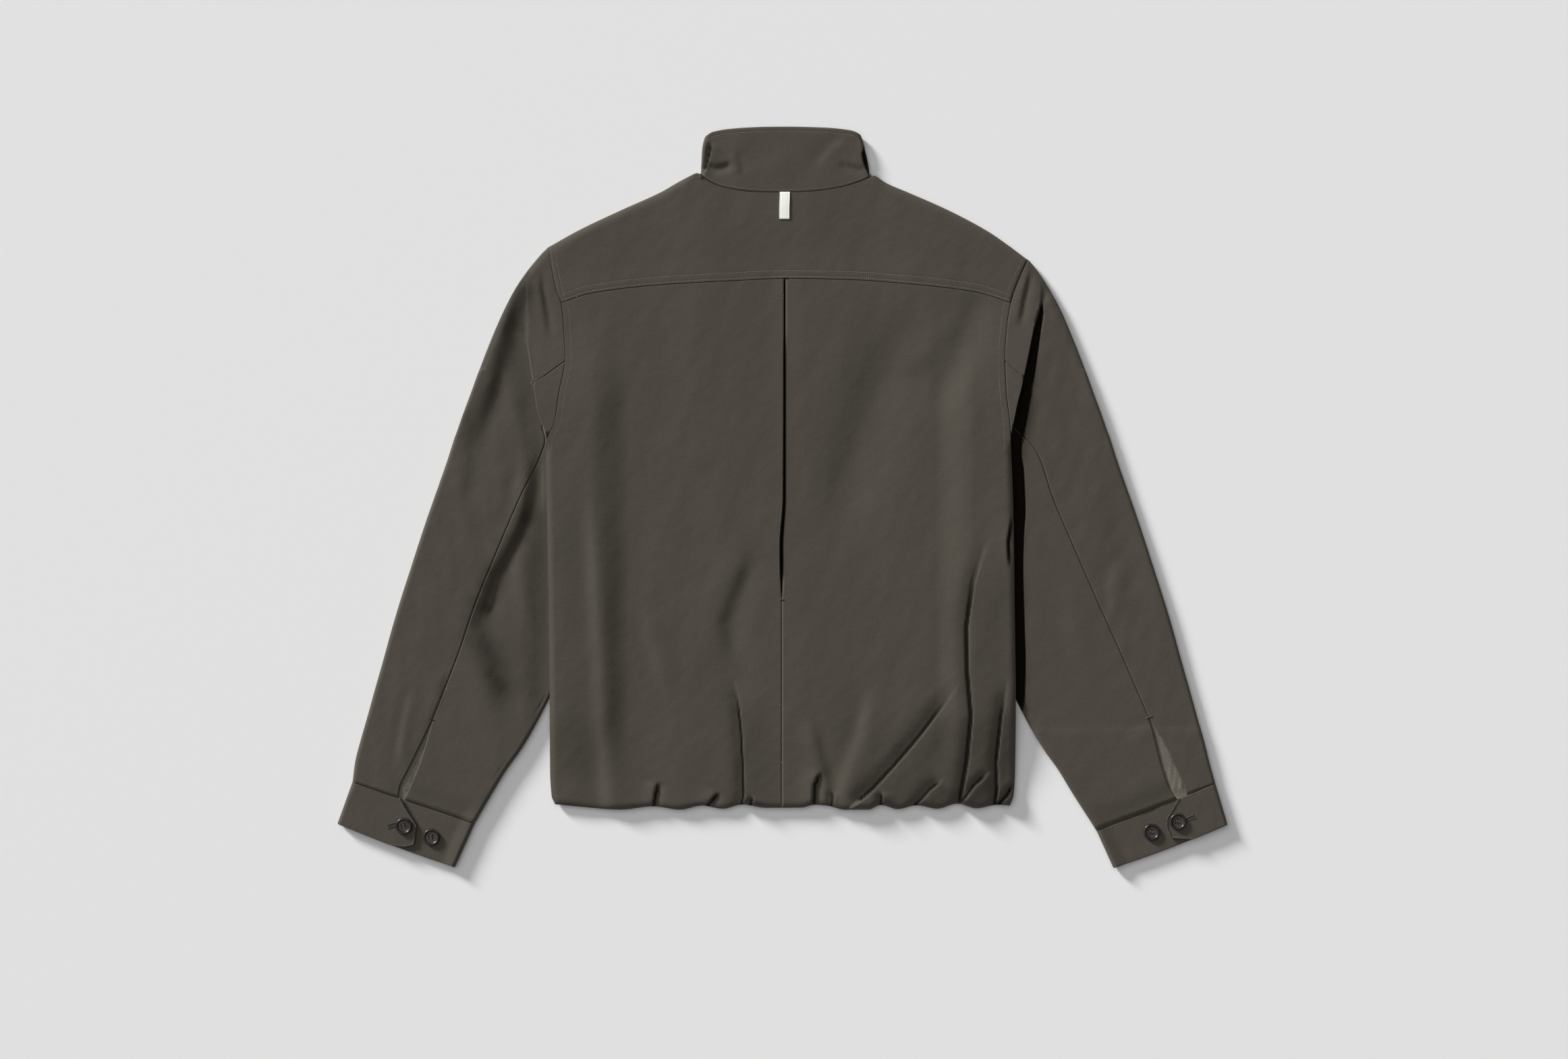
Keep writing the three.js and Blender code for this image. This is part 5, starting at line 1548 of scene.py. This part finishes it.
def stitched(name, lines, thread, width, pitch=STITCH_PITCH, length=1.4, wander=0.07, slant=0.0):
    """One mesh of stitches along several lines, made by the stitch group and then fixed."""
    lines = [path for path in lines if len(path) > 1]
    guide = bpy.data.meshes.new(name)
    edges, first = [], 0
    for path in lines:
        edges += [(first + i, first + i + 1) for i in range(len(path) - 1)]
        first += len(path)
    guide.from_pydata((np.concatenate(lines) * MM).tolist(), edges, [])
    piece = bpy.data.objects.new(name, guide)
    bpy.context.collection.objects.link(piece)
    modifier = piece.modifiers.new("stitches", "NODES")
    modifier.node_group = stitch_rows
    values = {"Pitch": pitch * MM, "Length": length * MM, "Width": width * MM,
              "Wander": wander * MM, "Slant": slant, "Thread": thread}
    for item in stitch_rows.interface.items_tree:
        if item.in_out == "INPUT" and item.name in values:
            modifier[item.identifier] = values[item.name]
    whole = piece.evaluated_get(bpy.context.evaluated_depsgraph_get())
    made = bpy.data.meshes.new_from_object(whole)
    piece.modifiers.clear()
    piece.data = made
    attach(piece, "root")


def sleeve_line(side, y, out):
    """A row beside the sleeve's back seam and slit, on the side of the top piece."""
    slope = (top_seam[side](y + 1) - top_seam[side](y - 1)) / 2
    return on_cloth(side * (top_seam[side](y) + out / np.cos(np.arctan(slope))), y, 0.06)


def cuff_line(side, across, down):
    x, y = on_cuff(side, across, np.broadcast_to(down, np.shape(across)))
    return on_cloth(x, y)


def bars_on(pairs, count, lift):
    """Short straight rows, each from one place to another."""
    return [on_cloth(np.linspace(a[0], b[0], count), np.linspace(a[1], b[1], count), lift)
            for a, b in pairs]


stitch_rows = stitch_group()
pale_thread = thread_material("pale_thread", (0.27, 0.24, 0.195))
plain_thread = thread_material("plain_thread", (0.075, 0.066, 0.052))
# The purl's lighter turns paint the light on its beads.
purl_thread = thread_material("purl_thread", (0.13, 0.115, 0.09))
# Near-black thread that paints shade, in the purl's cord and the buttonholes' cuts.
shade_thread = thread_material("shade_thread", (0.016, 0.014, 0.012))

along_yoke = spread(-229, 237, ROW_STEP)
yoke_rows = [on_cloth(along_yoke, yoke_seam(along_yoke) + up) for up in YOKE_ROWS]
stitched("stitches_yoke", yoke_rows, pale_thread, width=0.55)

pleat_y, below_y = spread(226, -104, ROW_STEP), spread(-110, -318, ROW_STEP)
pleat_rows = [on_cloth(centre_line(pleat_y) - slit_half(pleat_y) - 1.3, pleat_y),
              on_cloth(centre_line(pleat_y) + slit_half(pleat_y) + 3.0, pleat_y)]
stitched("stitches_pleat", pleat_rows, plain_thread, width=0.34)
centre_rows = [on_cloth(np.full(below_y.shape, x), below_y) for x in (-2.6, 1.3)]
stitched("stitches_centre", centre_rows, plain_thread, width=0.36)

armhole_rows = []
for side, top in ((-1, 258), (1, 247)):
    for start, end in ((top, 206), (202, 50)):
        y = spread(start, end, ROW_STEP)
        armhole_rows.append(on_cloth(side_line[side](y) - side * 6.6, y))
stitched("stitches_armhole", armhole_rows, pale_thread, width=0.4)

short_rows = [on_cloth([-229, -236, -248, -259.5], [147.5, 140, 133, 123.6]),
              on_cloth([234.2, 242, 250.5], [148.5, 140.5, 131])]
back_seam_rows = [sleeve_line(side, spread(52, -229, ROW_STEP), 6.0) for side in SIDES]
slit_rows = [sleeve_line(side, spread(-231, -302, ROW_STEP), 4.6) for side in SIDES]
stitched("stitches_sleeve", short_rows + back_seam_rows + slit_rows, plain_thread, width=0.4)

collar_x, neck_x = spread(-73, 75, ROW_STEP), spread(-84, 91, ROW_STEP)
collar_rows = [on_cloth(collar_x, collar_edge(collar_x) - COLLAR_ROW),
               on_cloth(neck_x, yoke_edge(neck_x) + 3.0)]
stitched("stitches_collar", collar_rows, pale_thread, width=0.5)

cuff_rows = []
for side in SIDES:
    for down in (0.036, 0.93):
        end = float(lap_end(side, down))
        cuff_rows += [cuff_line(side, spread(0.035, end - 0.02, 0.015), down),
                      cuff_line(side, spread(end + 0.035, 0.968, 0.015), down)]
stitched("stitches_cuff", cuff_rows, plain_thread, width=0.4)

# The laps' edges: a purl drawn as a near-black cord with lighter turns of thread over it; the two
# colours paint the shade and light of its beads.
for side, word in SIDES.items():
    down = spread(0.01, 0.985, 0.03)
    edge = cuff_line(side, lap_end(side, down) - 0.0035, down)
    stitched("purl_cord_" + word, [edge], shade_thread, width=2.1, pitch=0.8, length=1.6,
             wander=0.05)
    stitched("purl_turns_" + word, [edge + (0, 0, 0.3)], purl_thread, width=2.2, pitch=1.8,
             length=0.95, wander=0.08, slant=0.6)

# Bartacks at the slits, the pleat's foot and the yoke's centre, and the worked buttonholes, whose
# cuts are near-black dashes of painted shade.
BARS = [((-369.4, -230.6), (-364.4, -232.8)), ((380.6, -231.2), (386.2, -228.8)),
        ((-2.2, -107), (1.4, -107)), ((0.2, 229.6), (4.8, 229.6))]
HOLES = [((-404.6, -340.2), (-412.2, -342.6)), ((-404, -343.4), (-411.4, -345.6)),
         ((-412.6, -341.6), (-411.4, -346.4)), ((421.6, -335.4), (429.4, -332.2)),
         ((422.6, -338.4), (430.2, -335.2)), ((429, -330.9), (431.2, -336.2))]
HOLE_SLITS = [((-404.4, -341.8), (-411.8, -344)), ((422, -336.9), (429.8, -333.7))]
stitched("bartacks", bars_on(BARS, 5, 0.2), plain_thread, width=1.7, pitch=0.42, length=0.5,
         wander=0.05)
stitched("buttonholes", bars_on(HOLES, 6, 0.15), plain_thread, width=1.5, pitch=0.5, length=0.42,
         wander=0.05)
# Painted shade: near-black dashes down each buttonhole's cut.
stitched("buttonhole_slits", bars_on(HOLE_SLITS, 6, 0.1), shade_thread, width=0.9, pitch=0.4,
         length=0.8, wander=0.0)
